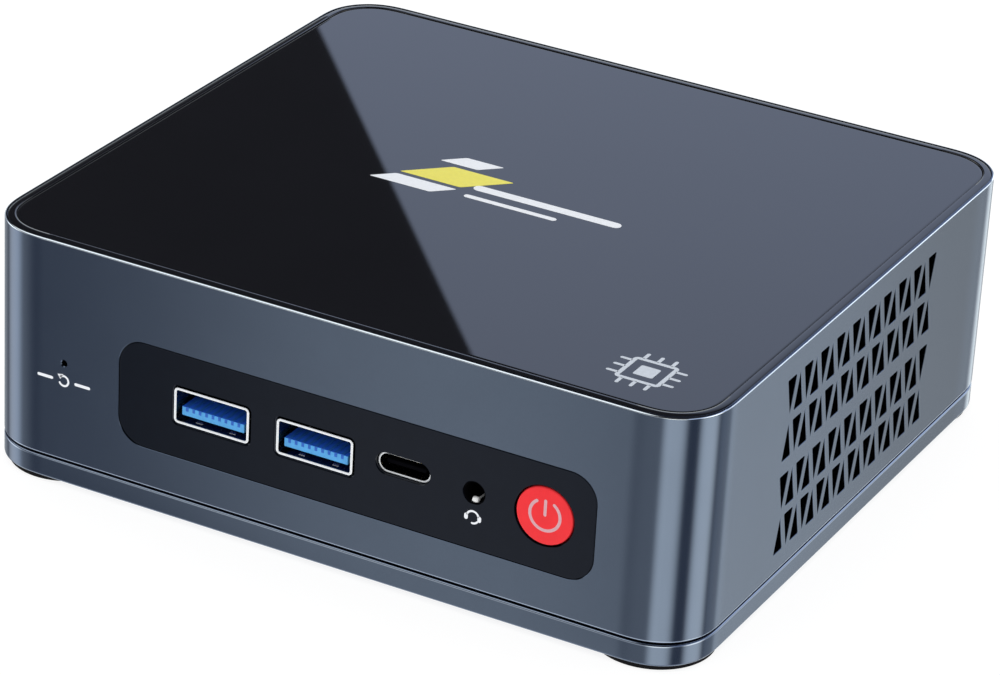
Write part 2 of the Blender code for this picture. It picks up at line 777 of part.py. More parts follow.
def make_heatsink():
    """A spreader plate over the processor, with a stack of fins at the rear vents."""
    half = FAN_CAVITY_RADIUS + 2 * MM
    front = FAN_Y - 24 * MM
    plate = block((FAN_X - half, front, SINK_LOW), (FAN_X + half, SINK_REAR, SINK_HIGH))
    sink = solid("heatsink", "sink_metal", plate)
    first = FAN_X - half + MM
    fin_step = 2 * (half - MM) / (FIN_COUNT - 1)
    fin_half = 0.3 * MM
    fins = [
        block(
            (first + i * fin_step - fin_half, FIN_FRONT, SINK_HIGH - 0.5 * MM),
            (first + i * fin_step + fin_half, SINK_REAR - 0.5 * MM, FIN_TOP),
        )
        for i in range(FIN_COUNT)
    ]
    join(sink, *fins)


def make_fan():
    """The blower: a housing open to the fins, its cover with the air inlet, and the rotor."""
    half = FAN_CAVITY_RADIUS + 1.8 * MM
    rear = 30.8 * MM
    corner_radius = 6 * MM
    low_corner = (FAN_X - half, FAN_Y - half)
    high_corner = (FAN_X + half, rear)
    shape = block((*low_corner, FAN_LOW), (*high_corner, FAN_WALL_TOP), corner_radius, "Z", 5)
    housing = solid("fan_housing", "fan_black", shape)
    cavity_height = 20 * MM
    cavity_middle = (FAN_X, FAN_Y, FAN_FLOOR + cavity_height / 2)
    cut(housing, disc(cavity_middle, FAN_CAVITY_RADIUS, cavity_height, steps=32))
    channel_half = FAN_CAVITY_RADIUS - 2 * MM
    channel_corner = (FAN_X + channel_half, BODY_DEPTH / 2, BODY_TOP)
    cut(housing, block((FAN_X - channel_half, FAN_Y, FAN_FLOOR), channel_corner))
    spindle_low = FAN_LOW + 0.4 * MM
    spindle_top = FAN_FLOOR + 3.0 * MM
    spindle_radius = 1.3 * MM
    spindle_middle = (FAN_X, FAN_Y, (spindle_low + spindle_top) / 2)
    join(housing, disc(spindle_middle, spindle_radius, spindle_top - spindle_low, steps=16))
    cover_low = FAN_WALL_TOP + GAP
    cover_high = cover_low + 0.6 * MM
    inlet_radius = 18 * MM
    sheet = block((*low_corner, cover_low), (*high_corner, cover_high), corner_radius, "Z", 5)
    cover = solid("fan_cover", "sink_metal", sheet)
    cut(cover, disc((FAN_X, FAN_Y, cover_low), inlet_radius, 4 * MM, steps=32))


def make_fan_rotor():
    """A cupped hub that turns on the housing's spindle, with slanted blades around it."""
    low = FAN_FLOOR + 0.5 * MM
    high = FAN_WALL_TOP - 0.5 * MM
    middle = (FAN_X, FAN_Y, (low + high) / 2)
    hub = disc(middle, HUB_RADIUS, high - low, steps=32)
    rotor = solid("fan_rotor", "fan_black", hub, middle)
    root = HUB_RADIUS - MM
    tip = FAN_ROTOR_RADIUS - 2 * MM
    half_thickness = 0.35 * MM
    end_gap = 0.3 * MM
    blades = []
    for i in range(FAN_BLADES):
        blade = block(
            (root, -half_thickness, low + end_gap),
            (tip, half_thickness, high - end_gap),
        )
        lean = Matrix.Translation((HUB_RADIUS, 0, 0)) @ Matrix.Rotation(math.radians(35), 4, "Z")
        lean = lean @ Matrix.Translation((-HUB_RADIUS, 0, 0))
        turn = Matrix.Rotation(2 * math.pi * i / FAN_BLADES, 4, "Z")
        place = Matrix.Translation((FAN_X, FAN_Y, 0)) @ turn @ lean
        bmesh.ops.transform(blade, matrix=place, verts=blade.verts)
        blades.append(blade)
    join(rotor, *blades)
    cut(rotor, disc((FAN_X, FAN_Y, low), 1.6 * MM, 7 * MM, steps=16))


def make_memory():
    """A memory module lying in its socket below the board, held by two sprung side latches."""
    middle_x = -8 * MM
    half = 34.8 * MM
    socket_front = 24.2 * MM
    socket_rear = 31.0 * MM
    card_low = 20.1 * MM
    card_high = 21.1 * MM
    card_front = -3.0 * MM
    socket_half = half + 0.9 * MM
    socket_low = 19.0 * MM
    socket_block = block(
        (middle_x - socket_half, socket_front, socket_low),
        (middle_x + socket_half, socket_rear, HANG),
    )
    socket = solid("ram_socket", "socket_black", socket_block)
    slot_rear = socket_front + 3.0 * MM
    slot = block(
        (middle_x - half - GAP, socket_front - MM, card_low - GAP),
        (middle_x + half + GAP, slot_rear, card_high + GAP),
    )
    cut(socket, slot)
    card = block(
        (middle_x - half, card_front, card_low),
        (middle_x + half, slot_rear - GAP, card_high),
    )
    module = solid("ram_module", "board_green", card)
    chip_size = (11 * MM, 11 * MM, card_high - card_low + 1.8 * MM)
    chip_y = 8.5 * MM
    chip_z = (card_low + card_high) / 2
    chip_offsets = (-24 * MM, -9 * MM, 9 * MM, 24 * MM)
    join(module, *[centred((middle_x + x, chip_y, chip_z), chip_size) for x in chip_offsets])
    for name, side in (("left", -1), ("right", 1)):
        pivot_x = middle_x + side * (half + 1.6 * MM)
        arm_half = 0.6 * MM
        arm = block(
            (pivot_x - arm_half, 1 * MM, card_low - 1.5 * MM),
            (pivot_x + arm_half, socket_front - 0.3 * MM, card_high),
        )
        pivot = (pivot_x, socket_front - MM, card_low)
        latch = solid(f"ram_latch_{name}", "port_metal", arm, pivot)
        hook = (middle_x + side * (half + 0.2 * MM), 2.5 * MM, card_low - 0.9 * MM)
        hook_size = (2.8 * MM, 2 * MM, 0.8 * MM)
        join(latch, centred(hook, hook_size))


def make_card_socket(name, left, right, bottom, slot_left, card_low, card_high):
    """An edge socket under the board, with a slot open to the right for a card."""
    body = block((left, CARD_FRONT, bottom), (right, CARD_REAR, HANG))
    socket = solid(name, "socket_black", body)
    slot = block(
        (slot_left, CARD_FRONT - MM, card_low - GAP),
        (right + MM, CARD_REAR + MM, card_high + GAP),
    )
    cut(socket, slot)


def make_storage():
    """A long storage card below the board, its socket, stand-off and screw."""
    low = 18.2 * MM
    high = 19.0 * MM
    card_left = -43.8 * MM
    card_right = 36.2 * MM
    make_card_socket("ssd_socket", -47 * MM, -41.5 * MM, 17.4 * MM, -44 * MM, low, high)
    sheet = block((card_left, CARD_FRONT, low), (card_right, CARD_REAR, high))
    card = solid("ssd_module", "board_green", sheet)
    middle_y = (CARD_FRONT + CARD_REAR) / 2
    memory_size = (18 * MM, 16 * MM, 1.4 * MM)
    controller_size = (12 * MM, 12 * MM, 1.1 * MM)
    join(
        card,
        centred((-27 * MM, middle_y, low - 0.5 * MM), memory_size),
        centred((-3 * MM, middle_y, low - 0.5 * MM), memory_size),
        centred((16 * MM, middle_y, low - 0.35 * MM), controller_size),
    )
    hole_radius = 1.8 * MM
    cut(card, disc((card_right, middle_y, low), hole_radius, 6 * MM, steps=20))
    standoff_low = high + GAP
    standoff_radius = 2.6 * MM
    standoff_middle = (card_right, middle_y, (standoff_low + HANG) / 2)
    post = disc(standoff_middle, standoff_radius, HANG - standoff_low, steps=6)
    standoff = solid("ssd_standoff", "contact_gold", post)
    cut(standoff, disc((card_right, middle_y, standoff_low), 1.2 * MM, 6 * MM, steps=16))
    head_low = 17.0 * MM
    tip = 21.8 * MM
    radii = (2.7 * MM, 1.0 * MM)
    make_screw("ssd_screw", card_right, middle_y, head_low, low - GAP, tip, *radii)


def make_wireless():
    """A short wireless card between the storage card and the board, in its socket."""
    low = 21.3 * MM
    high = 22.1 * MM
    make_card_socket("wifi_socket", -4 * MM, 1.5 * MM, 20.4 * MM, -1.5 * MM, low, high)
    sheet = block((-1.2 * MM, CARD_FRONT, low), (28.6 * MM, CARD_REAR, high))
    card = solid("wifi_card", "board_green", sheet)
    middle_y = (CARD_FRONT + CARD_REAR) / 2
    shield_size = (18 * MM, 16 * MM, 1.3 * MM)
    join(card, centred((13 * MM, middle_y, low - 0.45 * MM), shield_size))


def lead(points, radius):
    """A round cable along straight runs, as a closed mesh."""
    curve = bpy.data.curves.new("lead", "CURVE")
    curve.dimensions = "3D"
    curve.bevel_depth = radius
    curve.bevel_resolution = 1
    curve.use_fill_caps = True
    spline = curve.splines.new("POLY")
    spline.points.add(len(points) - 1)
    for point, place in zip(spline.points, points):
        point.co = (*place, 1.0)
    cable = bpy.data.objects.new("lead", curve)
    bpy.context.scene.collection.objects.link(cable)
    graph = bpy.context.evaluated_depsgraph_get()
    mesh = bpy.data.meshes.new_from_object(cable.evaluated_get(graph))
    shape = bmesh.new()
    shape.from_mesh(mesh)
    bmesh.ops.remove_doubles(shape, verts=shape.verts, dist=0.001 * MM)
    bpy.data.objects.remove(cable, do_unlink=True)
    bpy.data.meshes.remove(mesh)
    bpy.data.curves.remove(curve)
    return shape


def make_antenna(name, side, card_end_x):
    """A flat antenna under the roof, with its lead running down beside the board to the card."""
    plate_z = 38.5 * MM
    run_y = -37.4 * MM
    run_z = 21.2 * MM
    side_x = side * 58.1 * MM
    plate_size = (24 * MM, 7 * MM, 0.6 * MM)
    plate = centred((side * 32 * MM, -41 * MM, plate_z), plate_size)
    antenna = solid(name, "antenna_black", plate)
    join(
        antenna,
        lead(
            (
                (side * 43 * MM, -40.5 * MM, plate_z - 0.2 * MM),
                (side * 50 * MM, -38.5 * MM, plate_z - 0.6 * MM),
                (side * 56.5 * MM, run_y, plate_z - 1.5 * MM),
                (side_x, run_y, plate_z - 4 * MM),
                (side_x, run_y, run_z + 1.5 * MM),
                (side * 56.5 * MM, run_y, run_z),
                (card_end_x, run_y, run_z),
            ),
            0.5 * MM,
        ),
    )


def make_cell():
    """The coin cell in its wrap, stuck below the board."""
    x = 43 * MM
    y = 22 * MM
    radius = 10 * MM
    thickness = 3.2 * MM
    can = disc((x, y, HANG - thickness / 2), radius, thickness, steps=28)
    cell = solid("cmos_battery", "cell_steel", can)
    face_radius = 8.5 * MM
    join(cell, disc((x, y, HANG - thickness - 0.1 * MM), face_radius, 0.6 * MM, steps=28))


# ---------------------------------------------------------------- drive bay

def make_drive_bay():
    """A tray on the bottom cover for a flat drive, open at the end where it slides in."""
    low = BODY_BOTTOM + FLOOR_THICKNESS + GAP
    tray_floor = low + 1.2 * MM
    top = 12.0 * MM
    left = -51 * MM
    right = 49 * MM
    half_depth = 37 * MM
    inner_half = 35.2 * MM
    tray = block((left, -half_depth, low), (right, half_depth, top))
    bay = solid("drive_bay", "panel_black", tray)
    cut(bay, block((-BODY_WIDTH / 2, -inner_half, tray_floor), (BODY_WIDTH / 2, inner_half, BODY_TOP)))
    opening_size = (24 * MM, 40 * MM, 12 * MM)
    opening_radius = 3 * MM
    openings = [
        centred((x, 0, 0), opening_size, opening_radius) for x in (-30 * MM, 0, 30 * MM)
    ]
    cut(bay, *openings)


def make_sata_parts():
    """The drive's connector board at the bay's end, and its flat cable up to the motherboard."""
    board_x = 50.0 * MM
    thickness = 1.2 * MM
    half_width = 22 * MM
    plug_half = 17 * MM
    sheet = block((board_x, -half_width, 4.5 * MM), (board_x + thickness, half_width, 13 * MM))
    board = solid("sata_board", "board_green", sheet)
    plug_back = board_x + 0.3 * MM
    join(board, block((board_x - 6 * MM, -plug_half, 5.2 * MM), (plug_back, plug_half, 9.4 * MM)))
    start_x = board_x + thickness + GAP
    bend_radius = 2.5 * MM
    up_x = 55.4 * MM
    low_z = 10 * MM
    centre = Vector((up_x - bend_radius, low_z + bend_radius))

    def edge(offset):
        radius = bend_radius + offset
        bend = [
            (centre.x + radius * math.sin(t), centre.y - radius * math.cos(t))
            for t in (math.radians(15 * step) for step in range(7))
        ]
        return [(start_x, low_z - offset), *bend, (up_x + offset, HANG)]

    outline = edge(RIBBON_THICKNESS / 2) + edge(-RIBBON_THICKNESS / 2)[::-1]
    curve = bpy.data.curves.new("ribbon", "CURVE")
    curve.dimensions = "2D"
    curve.fill_mode = "BOTH"
    curve.extrude = RIBBON_WIDTH / 2
    spline = curve.splines.new("POLY")
    spline.points.add(len(outline) - 1)
    for point, (x, z) in zip(spline.points, outline):
        point.co = (x, z, 0, 1)
    spline.use_cyclic_u = True
    ribbon = bpy.data.objects.new("sata_flex", curve)
    ribbon.matrix_world = Matrix.Rotation(math.pi / 2, 4, "X")
    curve.materials.append(finish("flex_orange"))
    PARTS.objects.link(ribbon)


clear_scene()
PARTS = new_collection("mini_pc")
HELPERS = new_collection("cutters_and_joiners")

make_upper_shell()
make_top_panel()
make_bottom_cover()
make_feet()
make_case_screws()
make_front_panel()
make_rear_panel()
make_ports()
make_power_button()
make_switches()
make_motherboard()
make_processor()
make_heatsink()
make_fan()
make_fan_rotor()
make_memory()
make_storage()
make_wireless()
make_antenna("antenna_left", -1, 23.5 * MM)
make_antenna("antenna_right", 1, 27.0 * MM)
make_cell()
make_drive_bay()
make_sata_parts()
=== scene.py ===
"""Looks of a palm-sized desktop computer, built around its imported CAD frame.

Metres, +Z up. +X points to the right along the front wall and +Y points to the rear.
The case, panels, ports, button and feet are rebuilt with fine edges. The parts inside stay CAD nodes
and get their own materials.
"""

from math import atan2, cos, hypot, pi, radians, sin

import bmesh
import bpy
from mathutils import Matrix, Vector


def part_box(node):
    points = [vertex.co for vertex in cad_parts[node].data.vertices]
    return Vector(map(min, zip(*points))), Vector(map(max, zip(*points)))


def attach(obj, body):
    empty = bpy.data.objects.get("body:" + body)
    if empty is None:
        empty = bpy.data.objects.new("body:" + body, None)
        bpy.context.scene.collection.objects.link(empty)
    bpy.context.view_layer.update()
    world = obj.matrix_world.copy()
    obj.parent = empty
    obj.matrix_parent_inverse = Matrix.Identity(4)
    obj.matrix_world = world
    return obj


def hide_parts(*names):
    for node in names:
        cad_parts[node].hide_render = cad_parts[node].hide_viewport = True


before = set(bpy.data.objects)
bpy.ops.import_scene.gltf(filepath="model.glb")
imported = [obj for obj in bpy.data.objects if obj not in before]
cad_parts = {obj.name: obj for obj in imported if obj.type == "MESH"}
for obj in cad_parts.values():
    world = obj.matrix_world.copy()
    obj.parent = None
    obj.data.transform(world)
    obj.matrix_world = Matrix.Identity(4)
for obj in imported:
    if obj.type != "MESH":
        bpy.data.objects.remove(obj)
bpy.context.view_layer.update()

MM = 0.001


def mm(*values):
    """Millimetres as metres."""
    return tuple(value * MM for value in values)


# Case, from the frame
SHELL_LOW, SHELL_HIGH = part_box("upper_shell")
COVER_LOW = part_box("bottom_cover")[0]
LID_LOW, LID_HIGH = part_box("top_panel")
HALF_X = SHELL_HIGH.x
HALF_Y = SHELL_HIGH.y
TOP = SHELL_HIGH.z
BOTTOM = COVER_LOW.z
SEAM_HIGH = SHELL_LOW.z
SEAM_LOW = SEAM_HIGH - 0.3 * MM
CORNER_RADIUS = 9.3 * MM
CORNER_LEAD = 5 * MM
CORNER_STEPS = 32
COLUMN_INSET = 10 * MM
EDGE = 0.36 * MM
WALL = 1.8 * MM
ROOF_LOW = 39.2 * MM
ROOF_HIGH = LID_LOW.z - 0.2 * MM
LID_MARGIN = 1.8 * MM
TRIM_LOW = TOP - 0.7 * MM
FLOOR_TOP = BOTTOM + 1.6 * MM
COLUMN_X = HALF_X - COLUMN_INSET
COLUMN_Y = HALF_Y - COLUMN_INSET
CORNERS = {
    f"{end}_{side}": (x * COLUMN_X, y * COLUMN_Y)
    for end, y in (("front", -1), ("rear", 1))
    for side, x in (("left", -1), ("right", 1))
}

# Triangle vents: (bottom, top, whether the row starts with a point at the bottom)
SIDE_VENT_ROWS = (
    (*mm(31.8, 37.8), True),
    (*mm(24.3, 30.2), False),
    (*mm(15.65, 21.65), True),
    (*mm(8.4, 14.2), False),
)
REAR_VENT_ROWS = ((*mm(33.0, 38.0), True), (*mm(27.0, 32.0), False))
FLOOR_VENT_ROWS = ((*mm(-46.0, -40.0), True), (*mm(40.0, 46.0), True))
SIDE_VENTS = 19
REAR_VENTS = 27
FLOOR_VENTS = 15
VENT_DEPTH = 2.4 * MM
VENT_ROUND = 0.22 * MM
VENT_STEP = 2.858 * MM
VENT_BASE = 3.0 * MM
VENT_CHAMFER = 0.06 * MM
SIDE_VENT_MIDDLE = -0.7 * MM

# Port panels: left, right, bottom, top of each window
FRONT_WINDOW = mm(-36.4, 46.0, 11.5, 29.3)
REAR_WINDOW = mm(-48.2, 48.2, 8.4, 25.2)
WINDOW_RADIUS = 4.5 * MM

# Directions of each face: across, up, inwards, and its origin
FACES = {
    "front": ((1, 0, 0), (0, 0, 1), (0, 1, 0), (0, -HALF_Y, 0)),
    "rear": ((1, 0, 0), (0, 0, 1), (0, -1, 0), (0, HALF_Y, 0)),
    "right": ((0, 1, 0), (0, 0, 1), (-1, 0, 0), (HALF_X, 0, 0)),
    "left": ((0, 1, 0), (0, 0, 1), (1, 0, 0), (-HALF_X, 0, 0)),
    "floor": ((1, 0, 0), (0, 1, 0), (0, 0, 1), (0, 0, BOTTOM)),
    "lid": ((1, 0, 0), (0, 1, 0), (0, 0, -1), (0, 0, LID_HIGH.z)),
}


def on_face(face, across=0.0, up=0.0):
    """The matrix from (across, up, inwards) at a point of a face to the frame."""
    columns = [Vector(c) for c in FACES[face]]
    matrix = Matrix.Identity(4)
    for i in range(3):
        matrix.col[i] = (*columns[i], 0.0)
    origin = columns[3] + across * columns[0] + up * columns[1]
    matrix.col[3] = (*origin, 1.0)
    return matrix


def moved(place, x=0.0, y=0.0, z=0.0):
    """A place moved along its own axes, in millimetres."""
    return place @ Matrix.Translation(mm(x, y, z))


def centre(node):
    low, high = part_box(node)
    return (low + high) / 2


# ---- outlines and profiles

def rounded(half_x, half_y, radius, steps=8):
    """A rounded rectangle's points, anticlockwise."""
    points = []
    for quarter, (side_x, side_y) in enumerate(((1, 1), (-1, 1), (-1, -1), (1, -1))):
        for i in range(steps + 1):
            angle = pi / 2 * (quarter + i / steps)
            x = side_x * (half_x - radius) + radius * cos(angle)
            y = side_y * (half_y - radius) + radius * sin(angle)
            points.append((x, y))
    return points


def corner_curve():
    """Points and headings along a corner whose curvature grows and fades over the lead."""
    fine = 20
    count = CORNER_STEPS * fine
    length = pi / 2 * CORNER_RADIUS + CORNER_LEAD
    bend = 1 / CORNER_RADIUS

    def heading(run):
        if run < CORNER_LEAD:
            return bend * run ** 2 / (2 * CORNER_LEAD)
        if run > length - CORNER_LEAD:
            return pi / 2 - bend * (length - run) ** 2 / (2 * CORNER_LEAD)
        return bend * (run - CORNER_LEAD / 2)

    x = y = 0.0
    curve = [(x, y, 0.0)]
    for i in range(count):
        angle = heading(length * (i + 0.5) / count)
        x += cos(angle) * length / count
        y += sin(angle) * length / count
        if (i + 1) % fine == 0:
            curve.append((x, y, heading(length * (i + 1) / count)))
    return curve


def case_outline(inset):
    """The case's outline from above, moved inwards by an inset."""
    curve = corner_curve()
    reach = curve[-1][0]
    points = []
    for quarter in range(4):
        half_along, half_out = (HALF_X, HALF_Y) if quarter % 2 == 0 else (HALF_Y, HALF_X)
        turn = Matrix.Rotation(pi / 2 * quarter, 2)
        for x, y, angle in curve:
            across = half_along - reach + x - inset * sin(angle)
            out = -half_out + y + inset * cos(angle)
            points.append(tuple(turn @ Vector((across, out))))
    return points


def circle(radius, steps):
    angles = [2 * pi * i / steps for i in range(steps)]
    return [(radius * cos(a), radius * sin(a)) for a in angles]


def softened(corners, radius, steps=3):
    """A polygon with each corner replaced by a short curve."""
    points = []
    count = len(corners)
    for i in range(count):
        corner = Vector(corners[i])
        start = corner + (Vector(corners[i - 1]) - corner).normalized() * radius
        end = corner + (Vector(corners[(i + 1) % count]) - corner).normalized() * radius
        for k in range(steps + 1):
            t = k / steps
            point = (1 - t) ** 2 * start + 2 * t * (1 - t) * corner + t ** 2 * end
            points.append(tuple(point))
    return points


def arc(centre, radius, start, end, steps=5):
    """Points along an arc of a profile. Angles are in degrees."""
    angles = [radians(start + (end - start) * i / steps) for i in range(steps + 1)]
    return [(centre[0] + radius * cos(a), centre[1] + radius * sin(a)) for a in angles]


def stroke(path, width, steps=6):
    """The outline of a drawn line with round ends."""
    path = [Vector(p) for p in path]
    half = width / 2
    left, right = [], []
    for i, point in enumerate(path):
        before = path[max(i - 1, 0)]
        after = path[min(i + 1, len(path) - 1)]
        along = (after - before).normalized()
        normal = Vector((-along.y, along.x))
        left.append(point + normal * half)
        right.append(point - normal * half)

    def cap(point, along):
        first = atan2(along.y, along.x) + pi / 2
        turns = [first - pi * k / steps for k in range(1, steps)]
        return [point + half * Vector((cos(t), sin(t))) for t in turns]

    end = cap(path[-1], (path[-1] - path[-2]).normalized())
    start = cap(path[0], (path[0] - path[1]).normalized())
    return [tuple(p) for p in left + end + right[::-1] + start]


# ---- solids

def loft(rings, place=None, closed=False):
    """A solid through rings of points. Its ends are capped, or joined when closed."""
    place = place or Matrix.Identity(4)
    shape = bmesh.new()
    loops = [[shape.verts.new(place @ Vector(p)) for p in ring] for ring in rings]
    pairs = list(zip(loops, loops[1:]))
    if closed:
        pairs.append((loops[-1], loops[0]))
    for low, high in pairs:
        for i in range(len(low)):
            k = (i + 1) % len(low)
            shape.faces.new((low[i], low[k], high[k], high[i]))
    if not closed:
        shape.faces.new(loops[0][::-1])
        shape.faces.new(loops[-1])
    bmesh.ops.recalc_face_normals(shape, faces=shape.faces)
    return shape


def case_loft(profile, closed=False):
    """A solid round the case from a profile of (inset, height)."""
    rings = []
    for inset, height in profile:
        rings.append([(x, y, height) for x, y in case_outline(inset)])
    return loft(rings, closed=closed)


def port_loft(size, radius, profile, place, steps=6, closed=False):
    """A solid round a port's outline from a profile of (inset, depth)."""
    rings = []
    for inset, depth in profile:
        corner = max(radius - inset, 0.04 * MM)
        outline = rounded(size[0] / 2 - inset, size[1] / 2 - inset, corner, steps)
        rings.append([(x, y, depth) for x, y in outline])
    return loft(rings, place, closed)


def turned(profile, place, steps=64, closed=False):
    """A turned solid from a profile of (radius, depth)."""
    rings = [[(x, y, depth) for x, y in circle(radius, steps)] for radius, depth in profile]
    return loft(rings, place, closed)


def plate(outline, low, high, place):
    """A flat shape between two depths."""
    return loft([[(x, y, d) for x, y in outline] for d in (low, high)], place)


def bar(low, high, place=None):
    """A box with slightly broken edges, between two corners."""
    low, high = Vector(low), Vector(high)
    size = high - low
    shape = bmesh.new()
    middle = Matrix.Translation((low + high) / 2) @ Matrix.Diagonal((*size, 1.0))
    bmesh.ops.create_cube(shape, size=1.0, matrix=middle)
    bmesh.ops.bevel(
        shape, geom=shape.edges[:], offset=min(size) * 0.12, segments=2, affect="EDGES", profile=0.5
    )
    if place:
        bmesh.ops.transform(shape, matrix=place, verts=shape.verts)
    return shape


def new_mesh(name, shape):
    mesh = bpy.data.meshes.new(name)
    shape.to_mesh(mesh)
    shape.free()
    return mesh


def new_object(name, data):
    item = bpy.data.objects.new(name, data)
    bpy.context.scene.collection.objects.link(item)
    return item


def together(shapes):
    """Several separate shapes as one."""
    whole = bmesh.new()
    for shape in shapes:
        part = new_mesh("part", shape)
        whole.from_mesh(part)
        bpy.data.meshes.remove(part)
    bmesh.ops.recalc_face_normals(whole, faces=whole.faces)
    return whole


def temporary(shape):
    return new_object("temporary", new_mesh("temporary", shape))


def carve(shape, tools, operation="DIFFERENCE"):
    """A Boolean of one shape with the sum of some tools, as a new shape."""
    base = temporary(shape)
    tool = temporary(together(tools))
    modifier = base.modifiers.new("Carve", "BOOLEAN")
    modifier.operation = operation
    modifier.solver = "EXACT"
    modifier.object = tool
    graph = bpy.context.evaluated_depsgraph_get()
    mesh = bpy.data.meshes.new_from_object(base.evaluated_get(graph))
    result = bmesh.new()
    result.from_mesh(mesh)
    bpy.data.meshes.remove(mesh)
    for item in (base, tool):
        data = item.data
        bpy.data.objects.remove(item)
        bpy.data.meshes.remove(data)
    return result


def add_piece(name, shape, material, replaced=None, body="chassis", angle=32):
    """A visible piece on a body, standing for a CAD node where it replaces one."""
    bmesh.ops.recalc_face_normals(shape, faces=shape.faces)
    mesh = new_mesh(name, shape)
    mesh.materials.append(material)
    mesh.shade_smooth()
    mesh.set_sharp_from_angle(angle=radians(angle))
    item = new_object(name, mesh)
    even = item.modifiers.new("Even normals", "WEIGHTED_NORMAL")
    even.keep_sharp = True
    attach(item, body)
    if replaced:
        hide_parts(replaced)
    return item


# ---- material nodes

def link(tree, source, target):
    tree.links.new(source, target)


def new_node(tree, kind, inputs=None, **settings):
    """A shader node. Its inputs are values or sockets, by name or by number."""
    node = tree.nodes.new(f"ShaderNode{kind}")
    for name, value in settings.items():
        setattr(node, name, value)
    for name, value in (inputs or {}).items():
        if isinstance(value, bpy.types.NodeSocket):
            link(tree, value, node.inputs[name])
        else:
            node.inputs[name].default_value = value
    return node


def object_place(tree):
    return new_node(tree, "TexCoord").outputs["Object"]


def noise(tree, scale, detail, stretch):
    """A noise value over the object, with scale in features per metre."""
    mapping = new_node(tree, "Mapping", {"Vector": object_place(tree), "Scale": stretch})
    inputs = {"Vector": mapping.outputs["Vector"], "Scale": scale, "Detail": detail}
    return new_node(tree, "TexNoise", inputs).outputs["Fac"]


def ranged(tree, value, low, high, start=0.3, end=0.7, smooth=False):
    """A value moved from the range between start and end to the one between low and high."""
    inputs = {"Value": value, "From Min": start, "From Max": end, "To Min": low, "To Max": high}
    curve = "SMOOTHSTEP" if smooth else "LINEAR"
    return new_node(tree, "MapRange", inputs, interpolation_type=curve).outputs["Result"]


def blend(tree, factor, first, second):
    """A mix of two colours, each a colour or a socket."""
    inputs = {0: factor}
    for number, value in ((6, first), (7, second)):
        inputs[number] = value if isinstance(value, bpy.types.NodeSocket) else (*value, 1.0)
    return new_node(tree, "Mix", inputs, data_type="RGBA").outputs[2]


def shaded(colour, share):
    return tuple(c * share for c in colour)


def maths(tree, operation, *values, kind="Math"):
    """A maths node's result. Each value is a number, a vector or a socket."""
    node = new_node(tree, kind, dict(enumerate(values)), operation=operation)
    return node.outputs["Value" if kind == "Math" or operation == "DOT_PRODUCT" else "Vector"]


def component(tree, vector, axis):
    return new_node(tree, "SeparateXYZ", {"Vector": vector}).outputs[axis]


def place_along(tree, axis="Z"):
    """The place along one axis of the object."""
    return component(tree, object_place(tree), axis)


def surface(name, colour, roughness, metallic=0.0, specular=0.5, mottle=(300, 0.06),
            rough_spread=0.04, grain=(6000, 0.002), stretch=(1, 1, 1), tint=(1, 1, 1)):
    """A Principled material whose colour, roughness and surface all vary a little."""
    material = bpy.data.materials.new(name)
    material.use_nodes = True
    tree = material.node_tree
    shader = tree.nodes["Principled BSDF"]
    shader.inputs["Metallic"].default_value = metallic
    shader.inputs["Specular IOR Level"].default_value = specular
    shader.inputs["Specular Tint"].default_value = (*tint, 1.0)
    patches = noise(tree, mottle[0], 4.0, stretch)
    share = ranged(tree, patches, 0.0, 1.0)
    shades = blend(tree, share, shaded(colour, 1 - mottle[1]), shaded(colour, 1 + mottle[1]))
    link(tree, shades, shader.inputs["Base Color"])
    fine = noise(tree, grain[0], 2.0, stretch)
    rough = ranged(tree, fine, roughness - rough_spread, roughness + rough_spread)
    link(tree, rough, shader.inputs["Roughness"])
    relief = {"Distance": grain[1] * MM, "Strength": 1.0, "Height": fine}
    bump = new_node(tree, "Bump", relief)
    link(tree, bump.outputs["Normal"], shader.inputs["Normal"])
    return material


def outside_band(tree, low, high, axis="Z"):
    """1 below low or above high, and 0 between them."""
    place = place_along(tree, axis)
    over = maths(tree, "GREATER_THAN", place, high)
    under = maths(tree, "LESS_THAN", place, low)
    return maths(tree, "ADD", over, under)


def tinted(material, mask, colour):
    """Blends another colour in where a mask is 1."""
    tree = material.node_tree
    base = tree.nodes["Principled BSDF"].inputs["Base Color"]
    link(tree, blend(tree, mask, base.links[0].from_socket, colour), base)
    return material


def board_material(name, low, high, parts=(0.02, 0.02, 0.024)):
    """Green laminate with copper lines between two heights, and dark packages outside them."""
    green = (0.008, 0.075, 0.045)
    line_green = (0.03, 0.17, 0.10)
    via_gold = (0.62, 0.48, 0.2)
    material = surface(name, green, 0.42, mottle=(900, 0.25))
    tree = material.node_tree
    black = (0, 0, 0, 1)
    pattern = {"Color1": black, "Color2": black, "Mortar": (1, 1, 1, 1), "Mortar Size": 0.03}
    pattern |= {"Vector": object_place(tree), "Scale": 220.0}
    lines = new_node(tree, "TexBrick", pattern)
    dots = new_node(tree, "TexVoronoi", {"Vector": object_place(tree), "Scale": 260.0})
    tinted(material, lines.outputs["Color"], line_green)
    tinted(material, ranged(tree, dots.outputs["Distance"], 1.0, 0.0, 0.10, 0.14), via_gold)
    return tinted(material, outside_band(tree, low, high), parts)


def striped(material, axis, pitch, colour):
    """Adds stripes of another colour across one axis of the object."""
    tree = material.node_tree
    repeat = maths(tree, "PINGPONG", place_along(tree, axis), pitch / 2)
    mask = ranged(tree, repeat, 0.0, 1.0, 0.25 * pitch, 0.3 * pitch)
    return tinted(material, mask, colour)


